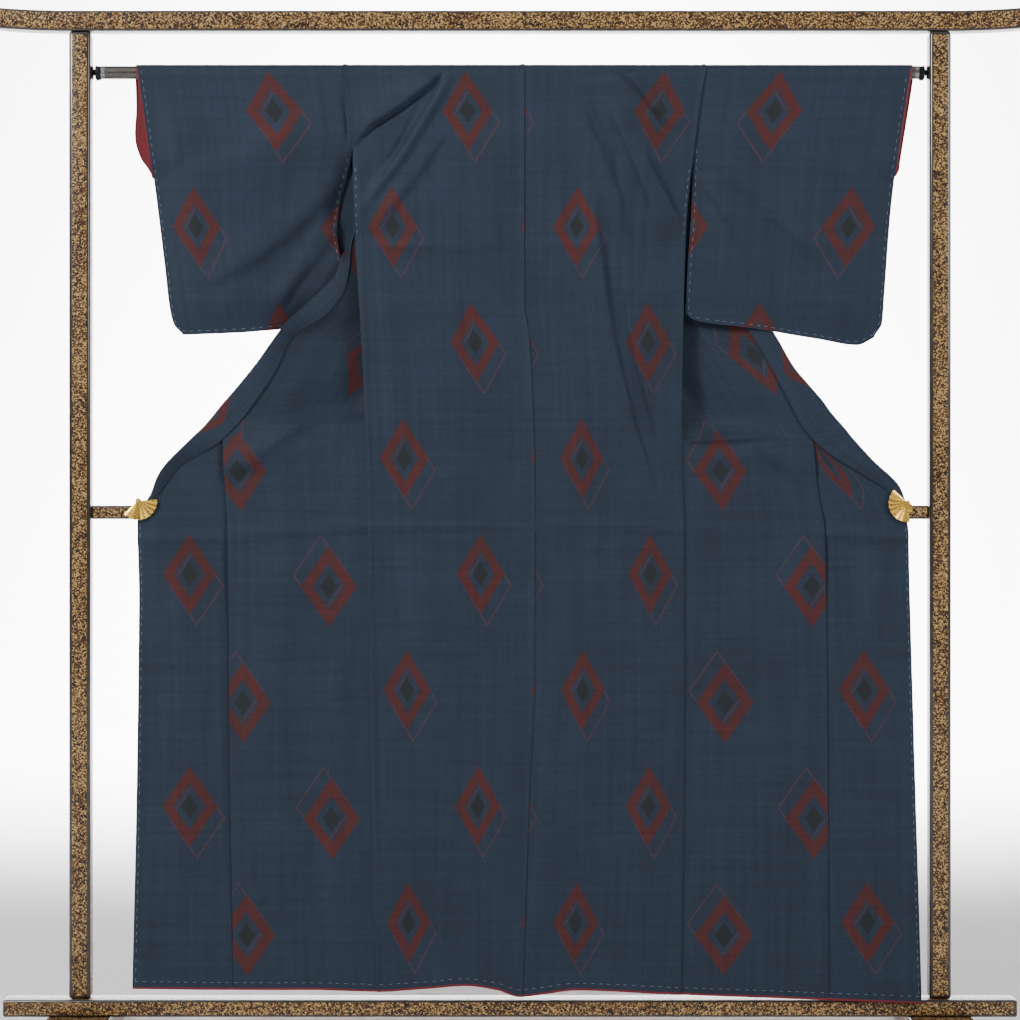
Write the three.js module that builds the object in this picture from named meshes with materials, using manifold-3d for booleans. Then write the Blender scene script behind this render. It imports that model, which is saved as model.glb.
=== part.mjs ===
// A lined kimono hung by its sleeves on a lacquered kimono stand, its back towards the viewer.
// Millimetres. +X is to the right from behind the garment, -Y is towards the viewer, +Z is up.
// The origin is on the floor, midway between the feet.
import * as THREE from "three";
import { mergeVertices } from "three/addons/utils/BufferGeometryUtils.js";
import Module from "manifold-3d";

const wasm = await Module();
wasm.setup();

// Driving sizes of the stand
const seat = 0.3; // clearance between pieces that rest on each other
const stand = {
  postSpan: 1506,
  postSide: 38,
  footWidth: 110,
  footLength: 380,
  footHeight: 36,
  baseLength: 1772,
  baseDepth: 55,
  baseHeight: 30,
  midHeight: 24,
  midDepth: 20,
  midCentreZ: 918,
  topLength: 1910,
  topHeight: 36,
  topDepth: 38,
  topUnderside: 1760,
  topEndRise: 12,
  rodRadius: 11.5,
  rodZ: 1689.7,
  rodLength: 1449,
};
const postX = stand.postSpan / 2;
const postInner = postX - stand.postSide / 2;

// Driving sizes of the cloth
const cloth = {
  thickness: 2,
  seamGap: 0.3,
  frontWidth: 236, // cut width of a front panel from side seam to overlap seam
  sleeveAir: 12, // half the depth of the hollow in a sleeve
  hemRoll: 3, // how far the lining rolls out under the hem
  cuffRoll: 4, // and out of the cuff
};
const drapeRadius = stand.rodRadius + seat + 0.3 + cloth.thickness / 2;
const lap = cloth.thickness + 0.4;

const colours = {
  lacquer: { color: 0x2a1a12, roughness: 0.22, metalness: 0.1 },
  rodMetal: { color: 0x4a4542, roughness: 0.4, metalness: 0.6 },
  gold: { color: 0xd9a736, roughness: 0.3, metalness: 0.9 },
  silk: { color: 0x2f4154, roughness: 0.75, metalness: 0 },
  lining: { color: 0xa01c28, roughness: 0.7, metalness: 0 },
};

const kimono = new THREE.Group();

function addPiece(name, geometry, finish) {
  const mesh = new THREE.Mesh(geometry, new THREE.MeshStandardMaterial(finish));
  mesh.name = name;
  kimono.add(mesh);
  return mesh;
}

// Value of a column at a height, between the rows of a table that runs from high to low
function atHeight(table, z, column) {
  if (z >= table[0].z) return table[0][column];
  for (let k = 1; k < table.length; k++) {
    const above = table[k - 1];
    const below = table[k];
    if (z >= below.z) {
      const share = (above.z - z) / (above.z - below.z);
      return above[column] + (below[column] - above[column]) * share;
    }
  }
  return table[table.length - 1][column];
}

function atX(table, x, column) {
  const last = table.length - 1;
  if (x <= table[0].x) return table[0][column];
  for (let k = 1; k <= last; k++) {
    if (x <= table[k].x) {
      const share = (x - table[k - 1].x) / (table[k].x - table[k - 1].x);
      return table[k - 1][column] + (table[k][column] - table[k - 1][column]) * share;
    }
  }
  return table[last][column];
}

const mix = THREE.MathUtils.lerp;
const ease = THREE.MathUtils.smoothstep;
const range = (count) => Array.from({ length: count }, (_, k) => k);

// Vertical lines of the garment: centre back seam, side seams and overlap (okumi) edges
const centreSeam = [
  { z: 1290, x: 24 },
  { z: 1220, x: 33 },
  { z: 954, x: 42 },
  { z: 625, x: 42 },
  { z: 436, x: 33 },
  { z: 79, x: 21 },
];
const sideSeam = {
  left: [
    { z: 1703, x: -294 },
    { z: 1568, x: -276 },
    { z: 1409, x: -272 },
    { z: 1237, x: -261 },
    { z: 1097, x: -254 },
    { z: 887, x: -248 },
    { z: 511, x: -243 },
    { z: 91, x: -233 },
  ],
  right: [
    { z: 1703, x: 345 },
    { z: 1632, x: 332 },
    { z: 1561, x: 323 },
    { z: 1409, x: 308 },
    { z: 1237, x: 303 },
    { z: 1045, x: 300 },
    { z: 887, x: 304 },
    { z: 511, x: 303 },
    { z: 86, x: 298 },
  ],
};
const overlapSeam = {
  left: [
    { z: 1048, x: -503 },
    { z: 966, x: -499 },
    { z: 887, x: -494 },
    { z: 511, x: -490 },
    { z: 89, x: -482 },
  ],
  right: [
    { z: 1048, x: 530 },
    { z: 966, x: 537 },
    { z: 887, x: 550 },
    { z: 511, x: 555 },
    { z: 77, x: 556 },
  ],
};
const overlapEdge = {
  left: [
    { z: 1040, x: -517 },
    { z: 1001, x: -577 },
    { z: 975, x: -600 },
    { z: 950, x: -614 },
    { z: 928, x: -635 },
    { z: 900, x: -651 },
    { z: 765, x: -649 },
    { z: 436, x: -652 },
    { z: 91, x: -658 },
  ],
  right: [
    { z: 1040, x: 543 },
    { z: 1017, x: 570 },
    { z: 990, x: 614 },
    { z: 954, x: 665 },
    { z: 928, x: 683 },
    { z: 894, x: 697 },
    { z: 802, x: 699 },
    { z: 65, x: 718 },
  ],
};
// Height of the hem along the spread garment, and the height at which its seams' places are read
const hemLevel = 85;
const hemLine = [
  { x: -658, z: 91 },
  { x: -480, z: 89 },
  { x: -343, z: 89 },
  { x: -231, z: 86 },
  { x: -145, z: 91 },
  { x: -77, z: 96 },
  { x: -23, z: 89 },
  { x: 16, z: 77 },
  { x: 40, z: 79 },
  { x: 117, z: 88 },
  { x: 261, z: 82 },
  { x: 718, z: 65 },
];

// Collar seam from the neck point down to the clip. out is where the band leads from the seam,
// width is the band's width there, and rise is how far it lies before or behind the panel.
const collarSeam = {
  left: [
    { z: 1690, x: -65, y: 13.1, outX: 0.5, outY: 0.35, outZ: -0.8, width: 54, rise: 3.1 },
    { z: 1632, x: -126, y: 31, outX: 0.62, outY: 0.62, outZ: -0.48, width: 55, rise: 3.1 },
    { z: 1562, x: -186, y: 32, outX: 0.35, outY: 0.9, outZ: -0.2, width: 56, rise: 3.1 },
    { z: 1492, x: -240, y: 25, outX: 0.45, outY: 0.8, outZ: -0.3, width: 55, rise: 3.1 },
    { z: 1433, x: -266, y: 16, outX: 0.4, outY: 0.85, outZ: -0.3, width: 50, rise: 1.6 },
    { z: 1384, x: -279, y: 7, outX: 0.3, outY: 0.9, outZ: -0.1, width: 28, rise: 0.8 },
    { z: 1350, x: -285, y: 3, outX: -0.6, outY: 0.15, outZ: 0.75, width: 20, rise: -1.6 },
    { z: 1316, x: -292, y: 0, outX: -0.6, outY: 0, outZ: 0.8, width: 24, rise: -3.1 },
    { z: 1269, x: -326, y: -4, outX: -0.7, outY: 0, outZ: 0.7, width: 31, rise: -3.1 },
    { z: 1228, x: -385, y: -7, outX: -0.6, outY: -0.5, outZ: 0.6, width: 22, rise: -3.1 },
    { z: 1168, x: -415, y: -10, outX: -0.78, outY: -0.1, outZ: 0.62, width: 30, rise: -3.1 },
    { z: 1123, x: -444, y: -12, outX: -0.76, outY: 0, outZ: 0.65, width: 35, rise: -3.1 },
    { z: 1081, x: -476, y: -13, outX: -0.75, outY: 0, outZ: 0.66, width: 38, rise: -3.1 },
    { z: 1045, x: -511, y: -14, outX: -0.75, outY: 0, outZ: 0.66, width: 34, rise: -3.1 },
    { z: 1001, x: -579, y: -14.5, outX: -0.6, outY: -0.5, outZ: 0.6, width: 20, rise: -3.1 },
    { z: 952, x: -616, y: -14.5, outX: -0.85, outY: -0.1, outZ: -0.5, width: 20, rise: -3.1 },
  ],
  right: [
    { z: 1690, x: 114, y: 13.1, outX: -0.5, outY: 0.35, outZ: -0.8, width: 54, rise: 3.1 },
    { z: 1632, x: 175, y: 31, outX: -0.62, outY: 0.62, outZ: -0.48, width: 55, rise: 3.1 },
    { z: 1562, x: 234, y: 32, outX: -0.35, outY: 0.9, outZ: -0.2, width: 56, rise: 3.1 },
    { z: 1492, x: 288, y: 28, outX: 0, outY: 0.99, outZ: 0.1, width: 56, rise: 1.2 },
    { z: 1433, x: 312, y: 23, outX: 0.35, outY: 0.9, outZ: 0.2, width: 52, rise: 0.8 },
    { z: 1384, x: 332, y: 17, outX: 0.6, outY: 0.4, outZ: 0.6, width: 32, rise: 0 },
    { z: 1316, x: 352, y: 12, outX: 0.6, outY: 0.1, outZ: 0.78, width: 27, rise: -3.1 },
    { z: 1269, x: 387, y: 9.5, outX: 0.75, outY: 0, outZ: 0.65, width: 28, rise: -3.1 },
    { z: 1237, x: 424, y: 6, outX: 0.78, outY: 0, outZ: 0.62, width: 30, rise: -3.1 },
    { z: 1162, x: 468, y: -3, outX: 0.8, outY: 0, outZ: 0.6, width: 31, rise: -3.1 },
    { z: 1110, x: 495, y: -9, outX: 0.77, outY: 0, outZ: 0.63, width: 42, rise: -3.1 },
    { z: 1074, x: 514, y: -12, outX: 0.77, outY: 0, outZ: 0.63, width: 50, rise: -3.1 },
    { z: 1045, x: 537, y: -14, outX: 0.77, outY: 0, outZ: 0.63, width: 50, rise: -3.1 },
    { z: 1017, x: 572, y: -14.5, outX: 0.77, outY: 0, outZ: 0.63, width: 41, rise: -3.1 },
    { z: 990, x: 616, y: -14.5, outX: 0.7, outY: -0.2, outZ: 0.65, width: 27, rise: -3.1 },
    { z: 956, x: 667, y: -14.5, outX: 0.85, outY: -0.1, outZ: 0.45, width: 12, rise: -3.1 },
  ],
};

// Sections of a front panel, from the shoulder to the hem. edgeZ is the height on the inner edge that
// the cloth at the side seam's height sideZ leads to. leave is the direction in which the section
// leaves the side seam, in degrees: 0 is towards the centre, 90 away from the viewer, 180 outwards.
const frontSections = {
  left: [
    { sideZ: 1664, edgeZ: 1664, leave: 0, arrive: 0 },
    { sideZ: 1632, edgeZ: 1632, leave: 0, arrive: 45 },
    { sideZ: 1596, edgeZ: 1597, leave: 0, arrive: 90 },
    { sideZ: 1561, edgeZ: 1562, leave: 0, arrive: 135 },
    { sideZ: 1526, edgeZ: 1527, leave: 2, arrive: 180 },
    { sideZ: 1491, edgeZ: 1492, leave: 3, arrive: 184 },
    { sideZ: 1444, edgeZ: 1433, leave: 3, arrive: 188 },
    { sideZ: 1409, edgeZ: 1384, leave: 3, arrive: 192 },
    { sideZ: 1356, edgeZ: 1316, leave: 4, arrive: 194 },
    { sideZ: 1300, edgeZ: 1269, leave: 8, arrive: 196 },
    { sideZ: 1240, edgeZ: 1228, leave: 16, arrive: 198 },
    { sideZ: 1176, edgeZ: 1168, leave: 35, arrive: 192 },
    { sideZ: 1130, edgeZ: 1123, leave: 60, arrive: 185 },
    { sideZ: 1085, edgeZ: 1081, leave: 100, arrive: 180 },
    { sideZ: 1036, edgeZ: 1046, leave: 150, arrive: 180 },
  ],
  right: [
    { sideZ: 1664, edgeZ: 1664, leave: 0, arrive: 0 },
    { sideZ: 1632, edgeZ: 1632, leave: 0, arrive: 45 },
    { sideZ: 1596, edgeZ: 1597, leave: 0, arrive: 90 },
    { sideZ: 1561, edgeZ: 1562, leave: 0, arrive: 135 },
    { sideZ: 1526, edgeZ: 1527, leave: 2, arrive: 180 },
    { sideZ: 1491, edgeZ: 1492, leave: 3, arrive: 184 },
    { sideZ: 1444, edgeZ: 1433, leave: 3, arrive: 184 },
    { sideZ: 1409, edgeZ: 1384, leave: 3, arrive: 186 },
    { sideZ: 1356, edgeZ: 1316, leave: 4, arrive: 188 },
    { sideZ: 1300, edgeZ: 1269, leave: 8, arrive: 188 },
    { sideZ: 1250, edgeZ: 1237, leave: 16, arrive: 186 },
    { sideZ: 1176, edgeZ: 1162, leave: 40, arrive: 182 },
    { sideZ: 1130, edgeZ: 1110, leave: 75, arrive: 180 },
    { sideZ: 1085, edgeZ: 1074, leave: 120, arrive: 180 },
    { sideZ: 1036, edgeZ: 1046, leave: 160, arrive: 180 },
  ],
};
// Below the shoulder a front is first eased along its collar seam, then as wide as it was cut
const easedWidth = [
  { z: 1664, width: 200 },
  { z: 1632, width: 164 },
  { z: 1596, width: 133 },
  { z: 1561, width: 105 },
  { z: 1526, width: 120 },
  { z: 1491, width: 165 },
  { z: 1444, width: cloth.frontWidth },
];
const spreadLevels = [980, 950, 918, 896, 840, 740, 620, 480, 340, 200]; // the flat, spread part

// Sleeve outlines. farReach is how far the far wall reaches out past the near one at the cuff.
const sleeves = {
  left: {
    outward: -1,
    cuff: [
      { z: 1703, x: -653 },
      { z: 1503, x: -625 },
      { z: 1351, x: -606 },
      { z: 1275, x: -597 },
      { z: 1248, x: -590 },
      { z: 1230, x: -574 },
    ],
    farReach: [
      { z: 1703, x: 4 },
      { z: 1631, x: 12 },
      { z: 1570, x: 22 },
      { z: 1545, x: 18 },
      { z: 1505, x: 0 },
    ],
    inner: [
      { z: 1703, x: -294 },
      { z: 1568, x: -276 },
      { z: 1465, x: -284 },
      { z: 1385, x: -295 },
      { z: 1250, x: -290 },
    ],
    bottom: [
      { x: -574, z: 1230 },
      { x: -472, z: 1234 },
      { x: -392, z: 1241 },
      { x: -290, z: 1250 },
    ],
    cornerSwing: 22, // the lower inner corner hangs this far behind the spread front
  },
  right: {
    outward: 1,
    cuff: [
      { z: 1703, x: 703 },
      { z: 1517, x: 676 },
      { z: 1424, x: 666 },
      { z: 1286, x: 656 },
      { z: 1250, x: 653 },
      { z: 1228, x: 640 },
    ],
    farReach: [
      { z: 1703, x: 3 },
      { z: 1677, x: 7 },
      { z: 1522, x: 5 },
      { z: 1505, x: 0 },
    ],
    inner: [
      { z: 1703, x: 345 },
      { z: 1632, x: 332 },
      { z: 1542, x: 321 },
      { z: 1400, x: 313 },
      { z: 1270, x: 307 },
    ],
    bottom: [
      { x: 307, z: 1268 },
      { x: 324, z: 1255 },
      { x: 425, z: 1241 },
      { x: 539, z: 1223 },
      { x: 609, z: 1212 },
      { x: 640, z: 1226 },
    ],
    cornerSwing: -6,
  },
};
const cuffOpening = 203;

// Main folds: a soft ridge (height below 0, towards the viewer) or trough along a line
const folds = {
  body_left: [
    { x1: -120, z1: 1660, x2: -262, z2: 1560, width: 26, height: -7 },
    { x1: -262, z1: 1560, x2: -262, z2: 1400, width: 22, height: -3 },
    { x1: -200, z1: 1500, x2: -60, z2: 1250, width: 60, height: -4 },
    { x1: -130, z1: 950, x2: -150, z2: 200, width: 70, height: -5 },
    { x1: -400, z1: 960, x2: -400, z2: 160, width: 60, height: -5 },
  ],
  body_right: [
    { x1: 150, z1: 1640, x2: 268, z2: 1460, width: 24, height: -6 },
    { x1: 196, z1: 1480, x2: 228, z2: 1120, width: 22, height: -7 },
    { x1: 228, z1: 1120, x2: 296, z2: 920, width: 24, height: -6 },
    { x1: 120, z1: 900, x2: 100, z2: 200, width: 60, height: -5 },
    { x1: 430, z1: 940, x2: 440, z2: 200, width: 60, height: -5 },
  ],
  okumi_left: [{ x1: -570, z1: 880, x2: -560, z2: 160, width: 40, height: -3 }],
  okumi_right: [{ x1: 630, z1: 860, x2: 640, z2: 160, width: 40, height: -4 }],
  sleeve_left: [
    { x1: -290, z1: 1560, x2: -520, z2: 1330, width: 36, height: -4 },
    { x1: -290, z1: 1540, x2: -420, z2: 1270, width: 30, height: -4 },
  ],
  sleeve_right: [
    { x1: 330, z1: 1560, x2: 560, z2: 1330, width: 36, height: -4 },
    { x1: 330, z1: 1540, x2: 470, z2: 1270, width: 30, height: -3 },
  ],
};

function foldAt(rows, x, z) {
  const calm = 1 - ease(z, 1630, 1675);
  let depth = 0;
  for (const fold of rows) {
    const alongX = fold.x2 - fold.x1;
    const alongZ = fold.z2 - fold.z1;
    const length = Math.hypot(alongX, alongZ);
    const share = ((x - fold.x1) * alongX + (z - fold.z1) * alongZ) / length ** 2;
    const off = ((x - fold.x1) * alongZ - (z - fold.z1) * alongX) / length;
    const ends = ease(share, -0.15, 0.2) * (1 - ease(share, 0.8, 1.15));
    depth += fold.height * ends * Math.exp(-((off / fold.width) ** 2));
  }
  return depth * calm;
}

// Surface in which the garment hangs: from the rod's near side past the middle rail and the base rail
const railClearance = 4.2; // from a rail's near face to the middle of the back panel
const lowestHem = 66;

function hangY(z) {
  const railY = -(stand.midDepth / 2 + railClearance);
  const hemY = -(stand.baseDepth / 2 + railClearance);
  const middle = stand.midCentreZ;
  if (z > middle) return mix(railY, -drapeRadius, (z - middle) / (stand.rodZ - middle));
  return mix(hemY, railY, (z - lowestHem) / (middle - lowestHem));
}

// A cloth wall over a grid of points. Each point is moved half a thickness to either side along its
// normal, cells that absent() names are left out, and every rim is closed.
function clothWall(grid, { wraps = false, absent = () => false, thickness = cloth.thickness } = {}) {
  const rows = grid.length;
  const columns = grid[0].length;
  const cellRows = wraps ? rows : rows - 1;
  const rowOf = (i) => (i + rows) % rows;
  const has = (i, j) => {
    if (!wraps && (i < 0 || i >= cellRows)) return false;
    return j >= 0 && j < columns - 1 && !absent(rowOf(i), j);
  };
  const point = (i, j) => grid[rowOf(i)][j];
  const normals = grid.map((row) => row.map(() => new THREE.Vector3()));
  const corners = (i, j) => [
    [i, j],
    [i, j + 1],
    [i + 1, j + 1],
    [i + 1, j],
  ];
  const cells = range(cellRows).flatMap((i) => range(columns - 1).map((j) => [i, j]));
  const present = cells.filter(([i, j]) => has(i, j));
  for (const [i, j] of present) {
    const [a, b, c, d] = corners(i, j).map(([p, q]) => point(p, q));
    const diagonal = c.clone().sub(a);
    const normal = diagonal.cross(d.clone().sub(b)).normalize();
    for (const [p, q] of corners(i, j)) normals[rowOf(p)][q].add(normal);
  }
  const positions = [];
  for (const i of range(rows)) {
    for (const j of range(columns)) {
      const shift = normals[i][j].setLength(thickness / 2);
      const outer = grid[i][j].clone().add(shift);
      const inner = grid[i][j].clone().sub(shift);
      positions.push(outer.x, outer.y, outer.z, inner.x, inner.y, inner.z);
    }
  }
  const outerAt = ([i, j]) => (rowOf(i) * columns + j) * 2;
  const triangles = [];
  const quad = (a, b, c, d) => triangles.push(a, b, c, a, c, d);
  for (const [i, j] of present) {
    const loop = corners(i, j);
    const [p, q, r, s] = loop.map(([k, m]) => point(k, m));
    // both faces of a cell are split along its shorter diagonal
    const split = p.distanceTo(r) <= q.distanceTo(s) ? loop : [...loop.slice(1), loop[0]];
    const [a, b, c, d] = split.map(outerAt);
    quad(a, b, c, d);
    quad(a + 1, d + 1, c + 1, b + 1);
    const beyond = [has(i - 1, j), has(i, j + 1), has(i + 1, j), has(i, j - 1)];
    beyond.forEach((neighbour, k) => {
      if (neighbour) return;
      const from = outerAt(loop[k]);
      const to = outerAt(loop[(k + 1) % 4]);
      quad(to, from, from + 1, to + 1);
    });
  }
  const geometry = new THREE.BufferGeometry();
  geometry.setAttribute("position", new THREE.Float32BufferAttribute(positions, 3));
  geometry.setIndex(triangles);
  geometry.computeVertexNormals();
  return geometry;
}

// Reverses a grid's columns, so that its outer face looks the other way
const turned = (grid) => grid.map((row) => [...row].reverse());

// Points of the arc over the rod, from the viewer's side to the far side
const arcSteps = 8;
const rodArc = range(arcSteps).map((k) => {
  const angle = Math.PI * (1 - (k + 1) / arcSteps);
  return { y: drapeRadius * Math.cos(angle), z: stand.rodZ + drapeRadius * Math.sin(angle) };
});

// A body panel: up the back from the hem, over the rod, and down the front to the hem again
const shoulderColumns = 11;
const neckColumns = 3;
const backLevels = [0.06, 0.16, 0.27, 0.38, 0.46, 0.54, 0.62, 0.68, 0.74, 0.79, 0.84, 0.88, 0.92, 0.96, 1];

function backPoints(side) {
  const outward = sleeves[side].outward;
  const neckX = collarSeam[side][0].x;
  const armX = sideSeam[side][0].x;
  const neckShare = (neckX - armX) / (centreSeam[0].x - armX);
  const shares = [
    ...range(shoulderColumns + 1).map((k) => (neckShare * k) / shoulderColumns),
    ...range(neckColumns).map((k) => mix(neckShare, 1, (k + 1) / neckColumns)),
  ];
  const xAt = (z, share) => {
    const middle = atHeight(centreSeam, z, "x") + (outward * cloth.seamGap) / 2;
    return mix(atHeight(sideSeam[side], z, "x"), middle, share);
  };
  const rows = [0, ...backLevels].map((level) =>
    shares.map((share) => {
      const hem = atX(hemLine, xAt(hemLevel, share), "z");
      const z = mix(hem, stand.rodZ, level);
      const x = xAt(z, share);
      return new THREE.Vector3(x, hangY(z) + foldAt(folds[`body_${side}`], x, z), z);
    }),
  );
  for (const stop of rodArc) {
    rows.push(shares.map((share) => new THREE.Vector3(xAt(stop.z, share), stop.y, stop.z)));
  }
  return rows;
}

// Inner edge of a front panel: the collar seam down to the overlap's point, then the overlap seam
function frontEdge(side, z) {
  const point = overlapSeam[side][0].z;
  if (z >= point) {
    const seam = collarSeam[side];
    return new THREE.Vector3(atHeight(seam, z, "x"), atHeight(seam, z, "y"), z);
  }
  return new THREE.Vector3(atHeight(overlapSeam[side], z, "x"), hangY(z), z);
}

// Side edge of a front panel: behind the rod at the shoulder, close behind the back panel below
function frontSide(side, z) {
  const x = atHeight(sideSeam[side], z, "x");
  const behind = hangY(z) + lap + foldAt(folds[`body_${side}`], x, z);
  return new THREE.Vector3(x, mix(behind, drapeRadius, ease(z, 1409, stand.rodZ)), z);
}

// One section of a front panel: a smooth curve as long as the panel is wide
const handleTolerance = 1e-4;
const foldCrowding = 1.8;
const turnLimits = [0.35, 0.95];
const evenAbove = [1480, 1600]; // a section's columns change from crowded to even between these heights

function frontSection(side, row, columns) {
  const outward = sleeves[side].outward;
  const start = frontSide(side, row.sideZ);
  const end = frontEdge(side, row.edgeZ);
  const heading = (degrees) => {
    const angle = THREE.MathUtils.degToRad(degrees);
    return new THREE.Vector3(-outward * Math.cos(angle), Math.sin(angle), 0);
  };
  const curve = (handle) => {
    const first = start.clone().addScaledVector(heading(row.leave), handle);
    const second = end.clone().addScaledVector(heading(row.arrive), -handle);
    first.z = mix(start.z, end.z, 1 / 3);
    second.z = mix(start.z, end.z, 2 / 3);
    return new THREE.CubicBezierCurve3(start, first, second, end);
  };
  const width = atHeight(easedWidth, row.sideZ, "width");
  let low = 4;
  let high = 260;
  while (high - low > handleTolerance) {
    const middle = (low + high) / 2;
    if (curve(middle).getLength() < width) low = middle;
    else high = middle;
  }
  const section = curve(low);
  const crowded = foldShares(section, outward, columns);
  const even = ease(row.sideZ, ...evenAbove);
  return crowded.map((share, k) => section.getPointAt(mix(share, k / columns, even)));
}

// Where a section's columns stand along it: closer together next to its fold, which keeps one column
function foldShares(section, outward, columns) {
  const samples = 240;
  const reaches = section.getSpacedPoints(samples).map((point) => -outward * point.x);
  const furthest = reaches.indexOf(Math.max(...reaches)) / samples;
  const turn = THREE.MathUtils.clamp(furthest, ...turnLimits);
  const foldColumn = Math.floor(columns / 2);
  return range(columns + 1).map((k) => {
    if (k <= foldColumn) return turn * (1 - (1 - k / foldColumn) ** foldCrowding);
    return turn + (1 - turn) * ((k - foldColumn) / (columns - foldColumn)) ** foldCrowding;
  });
}

// A table with a row added midway between each two
function denser(rows) {
  const keys = Object.keys(rows[0]);
  return rows.flatMap((row, k) => {
    if (k === rows.length - 1) return [row];
    const middle = Object.fromEntries(keys.map((key) => [key, (row[key] + rows[k + 1][key]) / 2]));
    return [row, middle];
  });
}

function frontPoints(side) {
  const rows = denser(frontSections[side]).map((row) => frontSection(side, row, shoulderColumns));
  const spread = (level, heightAt) =>
    range(shoulderColumns + 1).map((k) => {
      const share = k / shoulderColumns;
      const seamX = atHeight(overlapSeam[side], level, "x");
      const x = mix(atHeight(sideSeam[side], level, "x"), seamX, share);
      const z = heightAt(x);
      const tuck = lap * (1 - ease(share, 0, 0.35));
      const ripple = foldAt(folds[`body_${side}`], x, z);
      return new THREE.Vector3(x, hangY(z) + tuck + ripple, z);
    });
  for (const level of spreadLevels) rows.push(spread(level, () => level));
  rows.push(spread(hemLevel, (x) => atX(hemLine, x, "z")));
  return rows;
}

function bodyPanel(side) {
  const back = backPoints(side);
  const grid = [...back];
  for (const row of frontPoints(side)) {
    const padding = range(neckColumns).map(() => row[shoulderColumns].clone());
    grid.push([...row, ...padding]);
  }
  const absent = (i, j) => i >= back.length - 1 && j >= shoulderColumns;
  return clothWall(side === "left" ? grid : turned(grid), {
    absent: side === "left" ? absent : (i, j) => absent(i, shoulderColumns + neckColumns - 1 - j),
  });
}

// The overlap panel (okumi) carries the front on outwards below the collar
const overlapLevels = [1041, 1028, 1014, 1001, 990, 980, 965];

function overlapPoints(side) {
  const outward = sleeves[side].outward;
  const columns = 5;
  const rowAt = (level, heightAt) =>
    range(columns + 1).map((k) => {
      const inner = atHeight(overlapSeam[side], level, "x") + outward * 2 * cloth.seamGap;
      const outer = atHeight(overlapEdge[side], level, "x");
      const x = mix(inner, outer, k / columns);
      const z = heightAt(x);
      return new THREE.Vector3(x, hangY(z) + foldAt(folds[`okumi_${side}`], x, z), z);
    });
  const grid = [...overlapLevels, ...spreadLevels.slice(1)].map((z) => rowAt(z, () => z));
  grid.push(rowAt(hemLevel, (x) => atX(hemLine, x, "z")));
  return grid;
}

// The collar (eri): one band from clip to clip, round the back of the neck on the far side
const neckStops = [0.3, 0.65, 1];
const collarStart = { overlap: -1.5, clear: 2.2 }; // along the band, from the seam
const fullRise = 3.1;
const twistRise = 2;

function collarRow(seam, columns) {
  const out = new THREE.Vector3(seam.outX, seam.outY, seam.outZ).normalize();
  const base = new THREE.Vector3(seam.x, seam.y + seam.rise, seam.z);
  const flatness = ease(Math.abs(seam.rise), twistRise, fullRise); // it overlaps where it lies flat
  const first = mix(collarStart.clear, collarStart.overlap, flatness);
  return range(columns + 1).map((k) => {
    const reach = mix(first, seam.width, k / columns);
    return base.clone().addScaledVector(out, reach);
  });
}

function collar() {
  const columns = 3;
  const left = denser(collarSeam.left);
  const right = denser(collarSeam.right);
  const centre = { z: 1690, x: 24, y: 13.1, outX: 0, outY: 0.12, outZ: -1, width: 56, rise: fullRise };
  const towards = (from, share) =>
    Object.fromEntries(Object.keys(centre).map((key) => [key, mix(from[key], centre[key], share)]));
  const rows = [
    ...[...left].reverse(),
    ...neckStops.map((share) => towards(left[0], share)),
    ...[...neckStops.slice(0, -1)].reverse().map((share) => towards(right[0], share)),
    ...right,
  ];
  return clothWall(rows.map((row) => collarRow(row, columns)));
}

// A sleeve: a bag that wraps over the rod, open at the body side and above at the cuff
const sleeveColumns = 12;
const wallLevels = [0.05, 0.14, 0.26, 0.38, 0.5, 0.62, 0.74, 0.86, 0.94, 1];
const openingZ = stand.rodZ + drapeRadius - cuffOpening; // the cuff is sewn shut below this height

// Half the hollow's depth: none along the bottom and the sewn part of the cuff, less at the body side
const hollow = {
  rounded: [0.75, 1], // share of the height over which it takes the rod's shape
  bottom: [0, 0.16],
  cuffHeights: [openingZ - 10, openingZ + 45],
  cuffShares: [0, 0.22],
  bodyShares: [0.72, 1],
  bodyDepth: 0.45,
  bodyLevels: [0.5, 0.8],
};

function sleeveHalfGap(share, level, z) {
  const closed = cloth.thickness / 2 + 0.2;
  const full = mix(cloth.sleeveAir, drapeRadius, ease(level, ...hollow.rounded));
  const bottom = ease(level, ...hollow.bottom);
  const cuff = Math.max(ease(z, ...hollow.cuffHeights), ease(share, ...hollow.cuffShares));
  const bodyDepth = mix(hollow.bodyDepth, 1, ease(level, ...hollow.bodyLevels));
  const body = mix(1, bodyDepth, ease(share, ...hollow.bodyShares));
  return closed + (full - closed) * bottom * cuff * body;
}

function sleeveX(side, share, z, face) {
  const { cuff, farReach, inner, outward } = sleeves[side];
  const edge = atHeight(inner, z, "x") + outward * 2 * cloth.seamGap;
  const reach = Math.max(0, face) * outward * atHeight(farReach, z, "x");
  return mix(atHeight(cuff, z, "x") + reach, edge, share);
}

function sleevePoint(side, share, level, face) {
  const { cuff, inner, bottom, cornerSwing } = sleeves[side];
  const lowX = mix(cuff[cuff.length - 1].x, inner[inner.length - 1].x, share);
  const z = mix(atX(bottom, lowX, "z"), stand.rodZ, level);
  const x = sleeveX(side, share, z, face);
  const swing = cornerSwing * ease(share, 0.4, 0.8) * (1 - ease(level, 0.3, 0.75));
  const ripple = foldAt(folds[`sleeve_${side}`], x, z);
  return new THREE.Vector3(x, face * sleeveHalfGap(share, level, z) + swing + ripple, z);
}

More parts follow.
